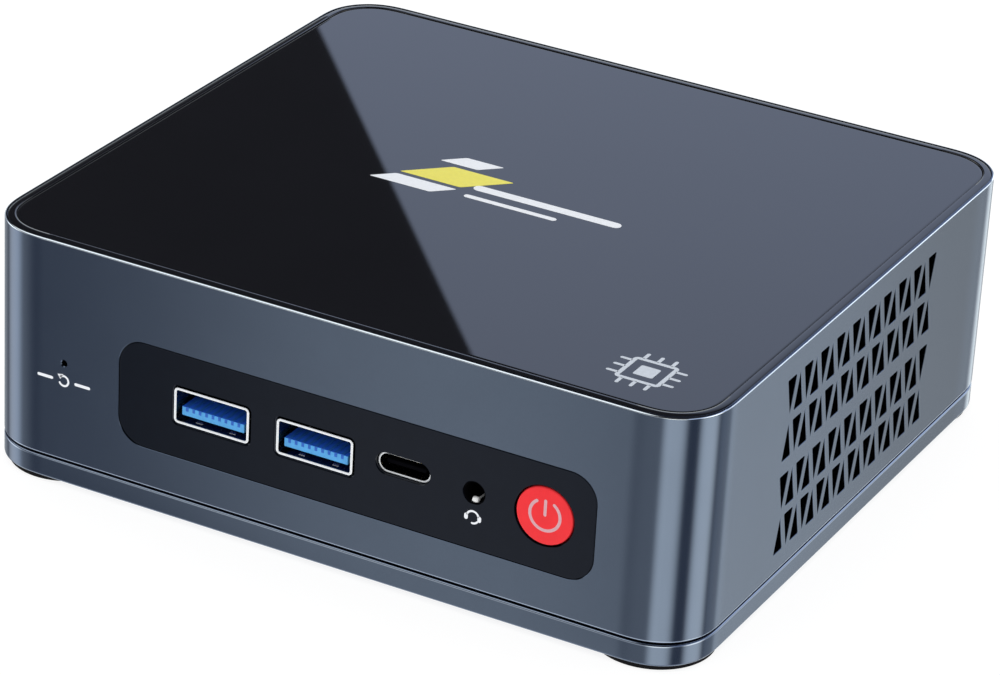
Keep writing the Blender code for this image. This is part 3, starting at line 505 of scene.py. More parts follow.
def facing(tree, axis):
    """1 on the faces that look along an axis, either way, and 0 on the others."""
    geometry = new_node(tree, "NewGeometry")
    slope = maths(tree, "ABSOLUTE", component(tree, geometry.outputs["True Normal"], axis))
    return ranged(tree, slope, 0.0, 1.0, 0.4, 0.75)


def by_facing(material, axis, colour, metallic=None):
    """Paints a lit or shaded copy of the colour onto the faces that look along an axis."""
    tree = material.node_tree
    mask = facing(tree, axis)
    if metallic is not None:
        target = tree.nodes["Principled BSDF"].inputs["Metallic"]
        link(tree, ranged(tree, mask, target.default_value, metallic, 0.0, 1.0), target)
    return tinted(material, mask, colour)


def by_height(material, low, high, colour, beyond=None):
    """Adds a second colour between two heights, or only there beyond a distance to each side."""
    tree = material.node_tree
    inside = maths(tree, "SUBTRACT", 1.0, outside_band(tree, low, high))
    if beyond is not None:
        inside = maths(tree, "MULTIPLY", inside, outside_band(tree, -beyond, beyond, "X"))
    return tinted(material, inside, colour)


def painted_shade_behind(material, colour):
    """Paints shade onto the side walls towards the rear, and stops short of the rear corners."""
    tree = material.node_tree
    depth = place_along(tree, "Y")
    fall = ranged(tree, depth, 0.0, 1.0, *mm(-24, 36), smooth=True)
    stop = ranged(tree, depth, 1.0, 0.0, *mm(40, 46), smooth=True)
    shade = maths(tree, "MULTIPLY", fall, stop)
    return tinted(material, maths(tree, "MULTIPLY", shade, facing(tree, "X")), colour)


# ---- materials

CASE_BLUE = (0.080, 0.103, 0.150)
CASE = surface(
    "satin_case", CASE_BLUE, 0.14, metallic=1.0, mottle=(120, 0.02), rough_spread=0.02,
    grain=(9000, 0.0004),
)
# Painted shade: the side walls darken towards the rear.
CASE = painted_shade_behind(CASE, shaded(CASE_BLUE, 0.7))
# Painted highlight: a lighter band on the rounded edges just above and below the seam.
CASE = by_height(CASE, SEAM_LOW - 0.35 * MM, SEAM_HIGH + 0.4 * MM, (0.23, 0.27, 0.35))
# Painted highlight: a near-white line along the rounded top edge.
CASE = by_height(CASE, TOP - 0.75 * EDGE, TOP - 0.12 * EDGE, (0.70, 0.76, 0.84))
# Takes the painted highlight off the very top of the left and right edges.
CASE = by_height(CASE, TOP - 0.35 * EDGE, TOP, CASE_BLUE, beyond=HALF_X - EDGE)
GLOSS = surface(
    "gloss_lid", (0.0072, 0.0076, 0.0100), 0.012, mottle=(60, 0.05), rough_spread=0.004,
    grain=(2500, 0.00001),
)
PANEL = surface(
    "moulded_panel", (0.0018, 0.0030, 0.0054), 0.15, specular=0.155, mottle=(500, 0.12),
    rough_spread=0.03, grain=(7000, 0.0005), tint=(0.90, 1.0, 1.4),
)
RUBBER = surface(
    "foot_rubber_grain", (0.006, 0.006, 0.007), 0.85, specular=0.08, mottle=(700, 0.2),
    grain=(5000, 0.008),
)
RED = surface(
    "satin_red", (0.86, 0.030, 0.038), 0.42, specular=0.2, mottle=(400, 0.04), grain=(6000, 0.0015)
)
SYMBOL = surface(
    "symbol_print", (0.66, 0.37, 0.41), 0.5, specular=0.3, mottle=(2000, 0.06)
)
STEEL = surface(
    "nickel_steel", (0.80, 0.80, 0.79), 0.22, metallic=1.0, mottle=(900, 0.05),
    rough_spread=0.06, grain=(4000, 0.001), stretch=(1, 0.15, 1),
)
# The contact is nickel; its near-white, almost matt colour is a painted highlight.
NICKEL_HIGHLIGHT = surface(
    "nickel_with_painted_highlight", (0.95, 0.95, 0.95), 0.25, metallic=0.1, mottle=(900, 0.04), grain=(4000, 0.001)
)
# Painted light: the sleeve steel is darkened as painted shade, and its faces looking along Y, the
# rolled front rim and the back, carry a painted highlight.
SLEEVE = by_facing(
    surface("sleeve_steel", (0.22, 0.23, 0.25), 0.26, metallic=1.0, mottle=(900, 0.06),
            grain=(4000, 0.001), stretch=(1, 0.15, 1)),
    "Y", (0.79, 0.81, 0.84), metallic=0.3,
)
# Painted shade: the faces looking up and down, the tongue's top and bottom, are a deeper blue than
# its front.
BLUE = by_facing(
    surface("port_blue", (0.080, 0.36, 0.74), 0.40, specular=0.4, mottle=(900, 0.08),
            grain=(5000, 0.002)),
    "Z", (0.018, 0.12, 0.70),
)
BLUE_CONTACT = surface(
    "contact_in_blue", (0.020, 0.12, 0.50), 0.4, specular=0.3, mottle=(1500, 0.1)
)
SOCKET = surface(
    "socket_plastic", (0.006, 0.006, 0.008), 0.45, specular=0.3, mottle=(800, 0.15),
    grain=(6000, 0.003),
)
MATT = surface(
    "matt_black_plastic", (0.002, 0.002, 0.003), 0.9, specular=0.02, mottle=(800, 0.2),
    grain=(5000, 0.004),
)
GOLD = surface(
    "gold_contact", (0.83, 0.60, 0.26), 0.24, metallic=1.0, mottle=(1200, 0.08), grain=(4000, 0.001)
)
WHITE_INK = surface("white_ink", (0.86, 0.88, 0.92), 0.45, mottle=(1500, 0.03))
PALE_INK = surface("pale_ink", (0.60, 0.65, 0.72), 0.5, mottle=(1500, 0.04))
YELLOW_INK = surface("yellow_ink", (0.86, 0.78, 0.10), 0.42, mottle=(1500, 0.04))
SCREW = surface(
    "black_screw", (0.10, 0.10, 0.11), 0.35, metallic=1.0, mottle=(1500, 0.15), grain=(5000, 0.003)
)
SINK = surface(
    "brushed_aluminium", (0.68, 0.69, 0.70), 0.32, metallic=1.0, mottle=(500, 0.06),
    grain=(3000, 0.003), stretch=(0.1, 1, 1),
)
FAN = surface(
    "fan_plastic", (0.016, 0.016, 0.018), 0.42, specular=0.4, mottle=(500, 0.15), grain=(4000, 0.006)
)
CHIP = surface(
    "chip_package", (0.022, 0.022, 0.026), 0.5, specular=0.35, mottle=(900, 0.12),
    grain=(8000, 0.004),
)
CELL = surface(
    "cell_can", (0.62, 0.62, 0.60), 0.3, metallic=1.0, mottle=(400, 0.06), grain=(3000, 0.002)
)
FLEX = striped(
    surface("flex_film", (0.55, 0.22, 0.04), 0.38, specular=0.5, mottle=(600, 0.08)),
    "Y", 1.0 * MM, (0.30, 0.10, 0.02),
)


# ---- case

def triangle_hole(place, height, points_up, depth):
    """A tool for one vent: a triangular hole whose mouth is chamfered."""
    side = hypot(VENT_BASE / 2, height)
    inner_radius = VENT_BASE * height / (VENT_BASE + 2 * side)
    corners = [
        Vector((-VENT_BASE / 2, -inner_radius)),
        Vector((VENT_BASE / 2, -inner_radius)),
        Vector((0.0, height - inner_radius)),
    ]
    turn = 1.0 if points_up else -1.0
    shift = turn * (inner_radius - height / 2)
    profile = ((2 * VENT_CHAMFER, -VENT_CHAMFER), (0.0, VENT_CHAMFER), (0.0, depth))
    rings = []
    for grow, ring_depth in profile:
        scale = 1 + grow / inner_radius
        outline = softened([tuple(c * scale) for c in corners], VENT_ROUND * scale)
        rings.append([(x, turn * y + shift, ring_depth) for x, y in outline])
    return loft(rings, place)


def vent_tools(face, rows, count, middle=0.0, depth=VENT_DEPTH):
    """Tools for rows of vents that point up and down in turn."""
    tools = []
    for low, high, starts_down in rows:
        for i in range(count):
            across = middle + VENT_STEP * (i - (count - 1) / 2)
            place = on_face(face, across, (low + high) / 2)
            points_up = (i % 2 == 0) != starts_down
            tools.append(triangle_hole(place, high - low, points_up, depth))
    return tools


def at_corners(profile, steps=32):
    """A turned solid at each corner column."""
    return [turned(profile, Matrix.Translation((x, y, 0)), steps) for x, y in CORNERS.values()]


def window_place(face, window):
    """A window's place on its face, and its size."""
    left, right, low, high = window
    return on_face(face, (left + right) / 2, (low + high) / 2), (right - left, high - low)


def window_tool(face, window, chamfer=0.05 * MM):
    """A tool for a rounded window with a chamfered edge."""
    place, size = window_place(face, window)
    profile = ((-2 * chamfer, -chamfer), (0.0, chamfer), (0.0, 3 * MM))
    return port_loft(size, WINDOW_RADIUS, profile, place, steps=12)


def add_upper_shell():
    """Walls and roof in one, with a rounded top edge and a seat for the trim ring."""
    seat = EDGE + 0.03 * MM
    seam = 0.4 * MM
    profile = [(LID_MARGIN, ROOF_HIGH), (LID_MARGIN, TRIM_LOW), (seat, TRIM_LOW), (seat, TOP)]
    profile += arc((EDGE, TOP - EDGE), EDGE, 90, 180, 8)
    profile += arc((seam, SEAM_HIGH + seam), seam, 180, 270, 5)
    profile += [(WALL, SEAM_HIGH), (WALL, ROOF_LOW)]
    column = 3.5 * MM
    columns = at_corners(((column, 8 * MM), (column, ROOF_HIGH - 0.5 * MM)))
    shell = carve(case_loft(profile), columns, "UNION")
    pin = centre("clear_switch_plunger")
    pinhole = (mm(0.8, -0.15), mm(0.5, 0.15), mm(0.5, 3.0))
    screw_bore = (mm(1.4, 0.0), mm(1.4, 13.0))
    tools = [turned(pinhole, on_face("front", pin.x, pin.z), 24)]
    for face, window in (("front", FRONT_WINDOW), ("rear", REAR_WINDOW)):
        tools.append(window_tool(face, window))
    shell = carve(shell, tools + at_corners(screw_bore, 24))
    vents = []
    for face in ("right", "left"):
        vents += vent_tools(face, SIDE_VENT_ROWS, SIDE_VENTS, SIDE_VENT_MIDDLE)
    vents += vent_tools("rear", REAR_VENT_ROWS, REAR_VENTS)
    add_piece("case_shell", carve(shell, vents), CASE, "upper_shell")


def add_lid_trim():
    """The black ring between the case's edge, lit and with a painted highlight, and the lid, sloping
    down outwards.
    """
    outer = EDGE + 0.12 * MM
    inner = LID_MARGIN
    low = TRIM_LOW + 0.02 * MM
    drop, soft = mm(0.10, 0.05)
    profile = [(inner, low), (inner, TOP - soft), (inner - soft, TOP)]
    for share in (0.25, 0.5, 0.75, 1.0):
        inset = inner - soft - (inner - outer - 2 * soft) * share
        profile.append((inset, TOP - drop * share ** 2))
    profile += [(outer, TOP - drop - soft), (outer, low)]
    add_piece("lid_trim", case_loft(profile, closed=True), GLOSS, angle=50)


def add_lid():
    """The glossy lid, whose edge falls away softly near its rim."""
    inset = LID_MARGIN + 0.07 * MM
    shoulder = inset + 0.05 * MM
    high = LID_HIGH.z
    fall, run = mm(0.09, 0.5)
    steps = 6
    profile = [(inset, LID_LOW.z), (inset, high - fall - 0.1 * MM)]
    for i in range(steps + 1):
        angle = pi / 2 * i / steps
        depth = fall * (1 - sin(angle))
        profile.append((shoulder + run * (1 - cos(angle)), high - depth))
    add_piece("lid_glass", case_loft(profile), GLOSS, "top_panel", angle=50)


def add_bottom_cover():
    """The tray under the seam, with its lip inside the walls and its floor vents."""
    seam, edge = mm(0.3, 0.45)
    lip_out = WALL + 0.3 * MM
    lip_in = lip_out + 1.2 * MM
    lip_top = 6.9 * MM
    profile = [(lip_in, FLOOR_TOP), (lip_in, lip_top), (lip_out, lip_top), (lip_out, SEAM_LOW)]
    profile += arc((seam, SEAM_LOW - seam), seam, 90, 180, 4)
    profile += arc((edge, BOTTOM + edge), edge, 180, 270, 6)
    boss = 4.3 * MM
    bosses = at_corners(((boss, BOTTOM + MM), (boss, 7.8 * MM)))
    cover = carve(case_loft(profile), bosses, "UNION")
    head, hole, head_top = mm(2.8, 1.4, 3.4)
    tools = at_corners(((head, 0), (head, head_top), (hole, head_top), (hole, 9 * MM)))
    tools += vent_tools("floor", FLOOR_VENT_ROWS, FLOOR_VENTS, depth=2.2 * MM)
    add_piece("case_cover", carve(cover, tools), CASE, "bottom_cover")


def add_feet():
    """Round pads with a softened edge, a shallow ring groove and a hole for the screwdriver."""
    radius, groove, hole, soft = mm(9.4, 6.2, 3.0, 0.2)
    top = BOTTOM - 0.02 * MM
    profile = [(hole, top), (radius - 0.1 * MM, top), (radius, top - 0.15 * MM)]
    profile += arc((radius - soft, soft), soft, 0, -90, 5)
    profile += [(groove + 2 * soft, 0.0), (groove + soft, soft)]
    profile += [(groove - soft, soft), (groove - 2 * soft, 0.0)]
    profile += [(hole + soft, 0.0), (hole, soft)]
    for name, (x, y) in CORNERS.items():
        pad = turned(profile, Matrix.Translation((x, y, 0)), 96, closed=True)
        add_piece(f"pad_{name}", pad, RUBBER, f"foot_{name}")


# ---- port panels

def port_place(node):
    """A front or rear port's place on its face, its size there and its length."""
    low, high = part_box(node)
    middle = centre(node)
    place = on_face("front" if middle.y < 0 else "rear", middle.x, middle.z)
    return place, (high.x - low.x, high.z - low.z), high.y - low.y


def port_tool(node, radius, gap=0.15 * MM, step=0.22 * MM):
    """A tool for a port's hole through a panel, with a dark step round the port."""
    place, size, _ = port_place(node)
    profile = ((-gap - step, -MM), (-gap - step, 0.25 * MM), (-gap, 0.4 * MM), (-gap, 6 * MM))
    return port_loft(size, radius, profile, place, steps=8)


def round_tool(x, z, radius, chamfer=0.1 * MM):
    """A tool for a round hole through the front panel."""
    profile = ((radius + 2 * chamfer, -chamfer), (radius, chamfer), (radius, 6 * MM))
    return turned(profile, on_face("front", x, z), 48)


def panel_plate(face, window):
    """A panel plate with a softened edge and a wider lip behind the wall."""
    place, size = window_place(face, window)
    gap, soft, lip = mm(0.1, 0.15, -1.2)
    recess, back = mm(0.06, 2.0)
    profile = [(gap + soft, recess), (gap + 0.3 * soft, recess + 0.3 * soft)]
    profile += [(gap, recess + soft), (gap, back), (lip, back), (lip, back + MM)]
    return port_loft(size, WINDOW_RADIUS, profile, place, steps=12)


def audio_place():
    """The middle of the audio jack's bore on the front face."""
    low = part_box("audio_jack_contact")[0]
    return centre("audio_jack_contact").x, low.z + 1.73 * MM


def add_front_panel():
    panel = panel_plate("front", FRONT_WINDOW)
    button = centre("power_button")
    audio_x, audio_z = audio_place()
    tools = [port_tool(f"usb_a_front_{side}_shell", 0.75 * MM) for side in ("left", "right")]
    tools += [port_tool("usb_c_shell", *mm(1.74, 0.06, 0.04))]
    tools += [round_tool(button.x, button.z, 5.0 * MM), round_tool(audio_x, audio_z, 1.9 * MM)]
    panel = carve(panel, tools)
    nose_room = turned((mm(2.9, 0.9), mm(2.9, 5.0)), on_face("front", audio_x, audio_z), 48)
    panel = carve(panel, [nose_room])
    add_piece("front_port_plate", panel, PANEL, "front_panel")


def add_rear_panel():
    tools = [port_tool("usb_a_rear_shell", 0.75 * MM), port_tool("dc_jack", 0.5 * MM)]
    for kind, radius in (("hdmi_{}_shell", 0.9 * MM), ("lan_{}_port", 0.4 * MM)):
        tools += [port_tool(kind.format(side), radius) for side in ("left", "right")]
    panel = carve(panel_plate("rear", REAR_WINDOW), tools)
    add_piece("rear_port_plate", panel, PANEL, "rear_panel")


# ---- ports

PORT_FRONT = 0.05 * MM
BACK_GAP = 0.3 * MM
BLOCK_GAP = 0.2 * MM


def sleeve_profile(wall, length, front=PORT_FRONT):
    """A pressed sleeve's section: a rolled rim in front and a closed back."""
    roll = wall * 0.4
    turn = 0.3 * roll
    profile = [(0.0, length), (0.0, front + roll), (turn, front + turn), (roll, front)]
    profile += [(wall - roll, front), (wall - turn, front + turn), (wall, front + roll)]
    return profile + [(wall, length - wall)]


def block(size, radius, start, end, place):
    """A plain rounded block between two depths."""
    return port_loft(size, radius, ((0, start), (0, end)), place, steps=3)


def bar_row(count, pitch, low, high, place):
    """A row of equal bars. The two corners are those of a bar in the middle."""
    bars = []
    for i in range(count):
        shift = Vector(((i - (count - 1) / 2) * pitch, 0.0, 0.0))
        bars.append(bar(Vector(low) + shift, Vector(high) + shift, place))
    return bars


def add_contacts(port, bars, material=GOLD):
    add_piece(f"{port}_contacts", together(bars), material)


def add_insert(port, tongue, behind, material):
    """A tongue and the block that holds it, as one piece."""
    body = carve(tongue, [behind], "UNION")
    add_piece(f"{port}_insert", body, material, f"{port}_tongue")


def add_sleeve(port, wall, radius, extras=(), front=PORT_FRONT):
    """A port's metal sleeve, with any shapes that stand on its walls."""
    node = f"{port}_shell"
    place, size, length = port_place(node)
    sleeve = port_loft(size, radius, sleeve_profile(wall, length, front), place, steps=8)
    sleeve = together([sleeve, *extras]) if extras else sleeve
    add_piece(f"{port}_sleeve", sleeve, SLEEVE, node)
    return place, size, length


def springs(node, wall):
    """Two pressed springs that stand up from a sleeve's floor."""
    place, size, _ = port_place(node)
    foot, rise = mm(0.7, 0.25)
    crest = 0.7 * foot
    floor = -size[1] / 2 + wall
    root = floor - 0.05 * MM
    shapes = []
    for middle in mm(-2.6, 3.3):
        rings = []
        for depth, lift in ((0.9, 0.2), (1.2, 0.8), (1.6, 1.0), (2.4, 0.8), (4.0, 0.1)):
            crown = floor + rise * lift
            corners = ((-foot, root), (foot, root), (crest, crown), (-crest, crown))
            rings.append([(middle + x, y, depth * MM) for x, y in corners])
        shapes.append(loft(rings, place))
    return shapes


def add_usb_a(port):
    """A socket: its sleeve with springs, a blue tongue with a block behind, and its contacts."""
    wall = 0.5 * MM
    extras = springs(f"{port}_shell", wall)
    place, size, length = add_sleeve(port, wall, 0.8 * MM, extras)
    tongue = moved(place, 0, -0.95)
    half_height, soft, front = mm(0.75, 0.15, 0.6)
    profile = [(soft, front), (0.3 * soft, front + 0.3 * soft), (0.0, front + soft), (0.0, 11.0 * MM)]
    shape = port_loft((11.1 * MM, 2 * half_height), 0.12 * MM, profile, tongue, steps=3)
    back = (size[0] - 2 * wall - BACK_GAP, size[1] - 2 * wall - BACK_GAP)
    behind = block(back, 0.3 * MM, 10.5 * MM, length - wall - BLOCK_GAP, place)
    add_insert(port, shape, behind, BLUE)
    low = (-0.25 * MM, half_height - 0.7 * MM, 0.56 * MM)
    high = (0.25 * MM, half_height + 0.08 * MM, 9.0 * MM)
    add_contacts(port, bar_row(9, 1.15 * MM, low, high, tongue), BLUE_CONTACT)


def add_usb_c():
    """A small socket with round ends, its thin tongue, and contacts on both of its sides."""
    wall = 0.38 * MM
    low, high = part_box("usb_c_shell")
    radius = (high.z - low.z) / 2 - 0.02 * MM
    recess = 0.7 * MM
    place, size, length = add_sleeve("usb_c", wall, radius, front=recess)
    profile = (mm(0.1, 1.2), mm(0.0, 1.3), mm(0.0, 6.2))
    tongue = port_loft(mm(6.7, 0.7), 0.2 * MM, profile, place, steps=4)
    back = (7.2 * MM, size[1] - 2 * wall - BACK_GAP)
    behind = block(back, 0.3 * MM, 6.0 * MM, length - wall - BLOCK_GAP, place)
    add_insert("usb_c", tongue, behind, MATT)
    pads = []
    for middle in (-0.36, 0.36):
        low, high = mm(-0.2, middle - 0.04, 2.4), mm(0.2, middle + 0.04, 5.0)
        pads += bar_row(8, 0.75 * MM, low, high, place)
    add_contacts("usb_c", pads)


def add_audio_jack():
    """The jack's body and round nose, with a bead of its contact showing low in the bore."""
    x, z = audio_place()
    place = on_face("front", x, z)
    low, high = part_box("audio_jack")
    bore, tip, nose = mm(1.74, 1.84, 2.7)
    front, shoulder, back = mm(0.12, 1.3, 4.2)
    tube = [(bore + 0.05 * MM, front), (tip, front), (tip, shoulder), (nose, shoulder)]
    tube += [(nose, back), (bore, back), (bore, front + 0.05 * MM)]
    box = bar((low.x, -HALF_Y + 3.25 * MM, low.z + 0.3 * MM), (high.x, high.y, high.z))
    hole = turned(((bore, 0), (bore, 12 * MM)), place)
    body = carve(turned(tube, place, closed=True), [carve(box, [hole])], "UNION")
    add_piece("audio_socket", body, MATT, "audio_jack")
    bead = []
    bead_profile = ((-0.55, 0.5), (-0.45, 0.85), (-0.2, 1.0), (0.2, 1.0), (0.45, 0.85), (0.55, 0.5))
    for across, share in bead_profile:
        bead.append([(across * MM, y * share, x * share) for x, y in circle(0.52 * MM, 16)])
    bead_place = moved(place, 0, -1.48, 0.9)
    arm = bar(mm(-0.2, -1.95, 1.2), mm(0.2, -1.70, 9.0), place)
    contact = carve(loft(bead, bead_place), [arm], "UNION")
    add_piece("audio_contact", contact, NICKEL_HIGHLIGHT, "audio_jack_contact")


def add_hdmi(port):
    """A wide flat socket whose lower corners are cut off."""
    node = f"{port}_shell"
    place, size, length = port_place(node)
    wall = 0.5 * MM

    def outline(inset):
        half_x = size[0] / 2 - inset
        half_y = size[1] / 2 - inset
        cut = 1.9 * MM - 0.4 * inset
        corners = [
            (-half_x, half_y), (-half_x, -half_y + cut), (-half_x + cut, -half_y),
            (half_x - cut, -half_y), (half_x, -half_y + cut), (half_x, half_y),
        ]
        return softened(corners, 0.5 * MM, 4)

    rings = [[(u, v, d) for u, v in outline(i)] for i, d in sleeve_profile(wall, length)]
    add_piece(f"{port}_sleeve", loft(rings, place), SLEEVE, node)
    tongue = moved(place, 0, 0.3)
    profile = (mm(0.12, 1.2), mm(0.0, 1.32), mm(0.0, 9.2))
    shape = port_loft(mm(11.0, 1.2), 0.15 * MM, profile, tongue, steps=3)
    behind = block(mm(10.0, 4.0), 0.2 * MM, 9.0 * MM, length - wall - BLOCK_GAP, place)
    add_insert(port, shape, behind, SOCKET)
    add_contacts(port, bar_row(10, MM, mm(-0.22, -0.66, 1.8), mm(0.22, -0.56, 8.0), tongue))


def add_lan(port):
    """A network socket: metal can, black liner with the plug's stepped opening, and contacts."""
    node = f"{port}_port"
    place, size, length = port_place(node)
    radius, wall = mm(0.35, 0.4)
    can = port_loft(size, radius, sleeve_profile(wall, length), place, steps=4)
    add_piece(f"{port}_can", can, SLEEVE, node)
    inset = wall + 0.02 * MM
    chamfer = 0.1 * MM
    front = PORT_FRONT + chamfer
    profile = ((inset + chamfer, front), (inset, front + chamfer), (inset, length - inset))
    liner = port_loft(size, radius, profile, place, steps=4)
    opening = moved(place, 0, 1.4)
    latch = moved(place, 0, -2.9)
    wide = block(mm(11.8, 7.2), 0.25 * MM, -MM, 12.5 * MM, opening)
    narrow = block(mm(6.4, 3.4), 0.25 * MM, -MM, 11.5 * MM, latch)
    liner = carve(carve(liner, [wide]), [narrow])
    add_piece(f"{port}_liner", liner, SOCKET)
    add_contacts(port, bar_row(8, 1.02 * MM, mm(-0.2, 3.4, 2.0), mm(0.2, 3.7, 11.0), opening))


def add_dc_inlet():
    """A round power inlet in a black block, with its centre pin."""
    place, size, length = port_place("dc_jack")
    front = PORT_FRONT
    edge, turn = mm(0.3, 0.08)
    profile = [(edge, front), (turn, front + turn), (0.0, front + edge), (0.0, length)]
    body = port_loft(size, 0.5 * MM, profile, place, steps=5)
    bore, mouth = mm(3.1, 0.25)
    tool = turned(((bore + 2 * mouth, front - mouth), (bore, front + mouth), (bore, 9.5 * MM)), place)
    add_piece("dc_inlet", carve(body, [tool]), SOCKET, "dc_jack")
    radius, tip = mm(1.0, 1.05)
    pin = [(radius * 0.35, tip)]
    pin += arc((radius * 0.4, tip + radius * 0.6), radius * 0.6, -90, 0, 5)
    pin += [(radius, 9.3 * MM)]
    add_piece("dc_inlet_pin", turned(pin, place, 48), STEEL, "dc_jack_pin")


# ---- button and marks

PRINT_PROUD = 0.02 * MM
PRINT_DEEP = 0.03 * MM


def add_power_button():
    """The red cap with a softened edge and a barely domed face, and its pale symbol."""
    low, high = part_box("power_button")
    middle = centre("power_button")
    place = on_face("front", middle.x, middle.z)
    radius = 4.72 * MM
    collar = radius + 1.1 * MM
    collar_start, collar_end = mm(3.3, 4.1)
    stem, soft, dome = mm(1.2, 0.35, 0.05)
    profile = [(0.02 * MM, 0.0)]
    for share in (0.25, 0.5, 0.75):
        profile.append(((radius - soft) * share, dome * share ** 2))
    profile += arc((radius - soft, dome + soft), soft, -90, 0, 6)
    profile += [(radius, collar_start), (collar, collar_start), (collar, collar_end)]
    profile += [(stem, collar_end), (stem, high.y - low.y)]
    add_piece("power_cap", turned(profile, place, 96), RED, "power_button", "button")
    width = 0.5 * MM
    gap = 35
    shifted = moved(place, 0.12, 0.22)
    ring = arc((0, 0), 2.5 * MM, 90 + gap, 450 - gap, 60)
    line = [mm(0, 0.05), mm(0, 2.35)]
    shapes = [plate(stroke(path, width), *mm(-0.005, 0.1), shifted) for path in (ring, line)]
    add_piece("power_symbol", together(shapes), SYMBOL, None, "button")


def print_marks(name, face, across, up, outlines, material, depth=0.06 * MM):
    """Thin printed shapes that stand 0.02 mm proud of a face at that depth."""
    place = on_face(face, across, up)
    shapes = [plate(points, depth - PRINT_PROUD, depth + PRINT_DEEP, place) for points in outlines]
    add_piece(name, together(shapes), material)


def slanted(left, right, low, high, lean):
    """A parallelogram, in millimetres, whose top leans to the right."""
    corners = [(left, low), (right, low), (right + lean, high), (left + lean, high)]
    return [mm(x, y) for x, y in softened(corners, 0.4, 4)]


def add_lid_marks():
    """A plain mark of stacked slanted plates with two bars beside it, and a chip symbol."""
    white = [slanted(-21.5, -10.5, -7.6, -4.4, 3.2), slanted(-15.1, -8.3, 4.0, 7.2, 3.2)]
    yellow = [slanted(-18.3, -7.3, -3.4, 2.9, 6.3)]
    bars = [
        stroke([mm(-4.6, -2.0), mm(19.6, -2.0)], 1.9 * MM),
        stroke([mm(-4.8, -5.6), mm(10.5, -5.6)], 1.1 * MM),
    ]
    print_marks("lid_mark_white", "lid", 0, 0, white + bars, WHITE_INK, depth=0.0)
    print_marks("lid_mark_yellow", "lid", 0, 0, yellow, YELLOW_INK, depth=0.0)
    add_chip_mark(*mm(46.7, -44.5))


def add_chip_mark(x, y):
    """A square chip outline with legs and a small square inside."""
    place = on_face("lid", x, y)
    half, line = mm(3.7, 0.7)
    low, high = -PRINT_PROUD, PRINT_DEEP
    frame_profile = ((0.0, low), (0.0, high), (line, high), (line, low))
    shapes = [port_loft((2 * half, 2 * half), 0.8 * MM, frame_profile, place, 6, closed=True)]
    shapes += [plate(rounded(*mm(1.6, 1.6, 0.3), 4), low, high, place)]
    leg_start = half + 0.15 * MM
    leg_end = half + 1.5 * MM
    for step in mm(-2.3, 0.0, 2.3):
        for side in (-1, 1):
            upright = [(step, side * leg_start), (step, side * leg_end)]
            level = [(side * leg_start, step), (side * leg_end, step)]
            shapes += [plate(stroke(path, 0.6 * MM), low, high, place) for path in (upright, level)]
    add_piece("lid_chip_mark", together(shapes), PALE_INK)


def add_front_marks():
    """A headset symbol under the audio socket and a reset symbol under the pinhole."""
    audio_x, audio_z = audio_place()
    outlines = [stroke(arc((0, 0), MM, *turn), 0.32 * MM) for turn in ((20, 160, 20), (-35, -95, 10))]
    for side in (-1, 1):
        outlines.append(stroke([mm(side * 1.12, 0.1), mm(side * 1.12, -0.3)], 0.62 * MM))
    print_marks("headset_symbol", "front", audio_x, audio_z - 4.05 * MM, outlines, WHITE_INK)
    pin = centre("clear_switch_plunger")
    turned_arrow = stroke(arc((0, 0), 0.85 * MM, 130, -150, 24), 0.34 * MM)
    head = [mm(-0.62, 0.2), mm(-1.15, 0.95), mm(-0.1, 1.15)]
    outlines = [turned_arrow, head]
    for side in (-1, 1):
        outlines.append(stroke([mm(side * 2.2, 0.0), mm(side * 4.6, 0.0)], 0.5 * MM))
    print_marks("reset_symbol", "front", pin.x, pin.z - 3.0 * MM, outlines, WHITE_INK, depth=0.0)


# ---- CAD nodes that stay

# Boards: node, and the lowest and highest place of its laminate
BOARDS = (
    ("motherboard", *mm(23.85, 25.55)),
    ("ram_module", *mm(20.05, 21.15)),
    ("ssd_module", *mm(18.15, 19.05)),
    ("sata_board", 0.0, TOP),
)


def kept_materials():
    """The material of each CAD node that stays in view."""
    made = {
        "cpu_package": CHIP,
        "heatsink": SINK,
        "fan_housing": FAN,
        "fan_cover": SINK,
        "fan_rotor": FAN,
        "cmos_battery": CELL,
        "sata_flex": FLEX,
        "drive_bay": PANEL,
        "ssd_standoff": GOLD,
        "power_switch_plunger": CHIP,
        "clear_switch_plunger": CHIP,
    }
    shield = (0.45, 0.45, 0.46)
    made["wifi_card"] = board_material("wifi_card_laminate", *mm(21.25, 22.15), shield)
    for node, low, high in BOARDS:
        made[node] = board_material(f"{node}_laminate", low, high)
    families = (
        (("screw",), SCREW),
        (("socket", "switch_body", "antenna"), SOCKET),
        (("latch",), STEEL),
    )
    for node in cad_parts:
        for words, material in families:
            if node not in made and any(word in node for word in words):
                made[node] = material
    return made


def dress_kept_nodes():
    """Gives every CAD node that is still shown a procedural material and broken edges."""
    materials = kept_materials()
    for name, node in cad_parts.items():
        if node.hide_render:
            continue
        node.data.materials.clear()
        node.data.materials.append(materials[name])
        soften = node.modifiers.new("Broken edges", "BEVEL")
        soften.width = 0.08 * MM
        soften.segments = 2
        soften.limit_method = "ANGLE"
        soften.angle_limit = radians(40)
        soften.use_clamp_overlap = True


# ---- stage, light and camera

def add_floor():
    """A large pale floor that glows a little, so that the object's shadow stays soft."""
    shape = bmesh.new()
    bmesh.ops.create_grid(shape, x_segments=2, y_segments=2, size=12.0)
    floor = new_object("floor", new_mesh("floor", shape))
    material = bpy.data.materials.new("pale_floor")
    material.use_nodes = True
    tree = material.node_tree
    tree.nodes.remove(tree.nodes["Principled BSDF"])
    matt = new_node(tree, "BsdfDiffuse", {"Color": (0.22, 0.22, 0.22, 1.0)})
    glow = new_node(tree, "Emission", {"Strength": 0.86})
    total = new_node(tree, "AddShader", {0: matt.outputs[0], 1: glow.outputs[0]})
    link(tree, total.outputs[0], tree.nodes["Material Output"].inputs["Surface"])
    floor.data.materials.append(material)
    floor.visible_glossy = False
    floor.visible_shadow = False


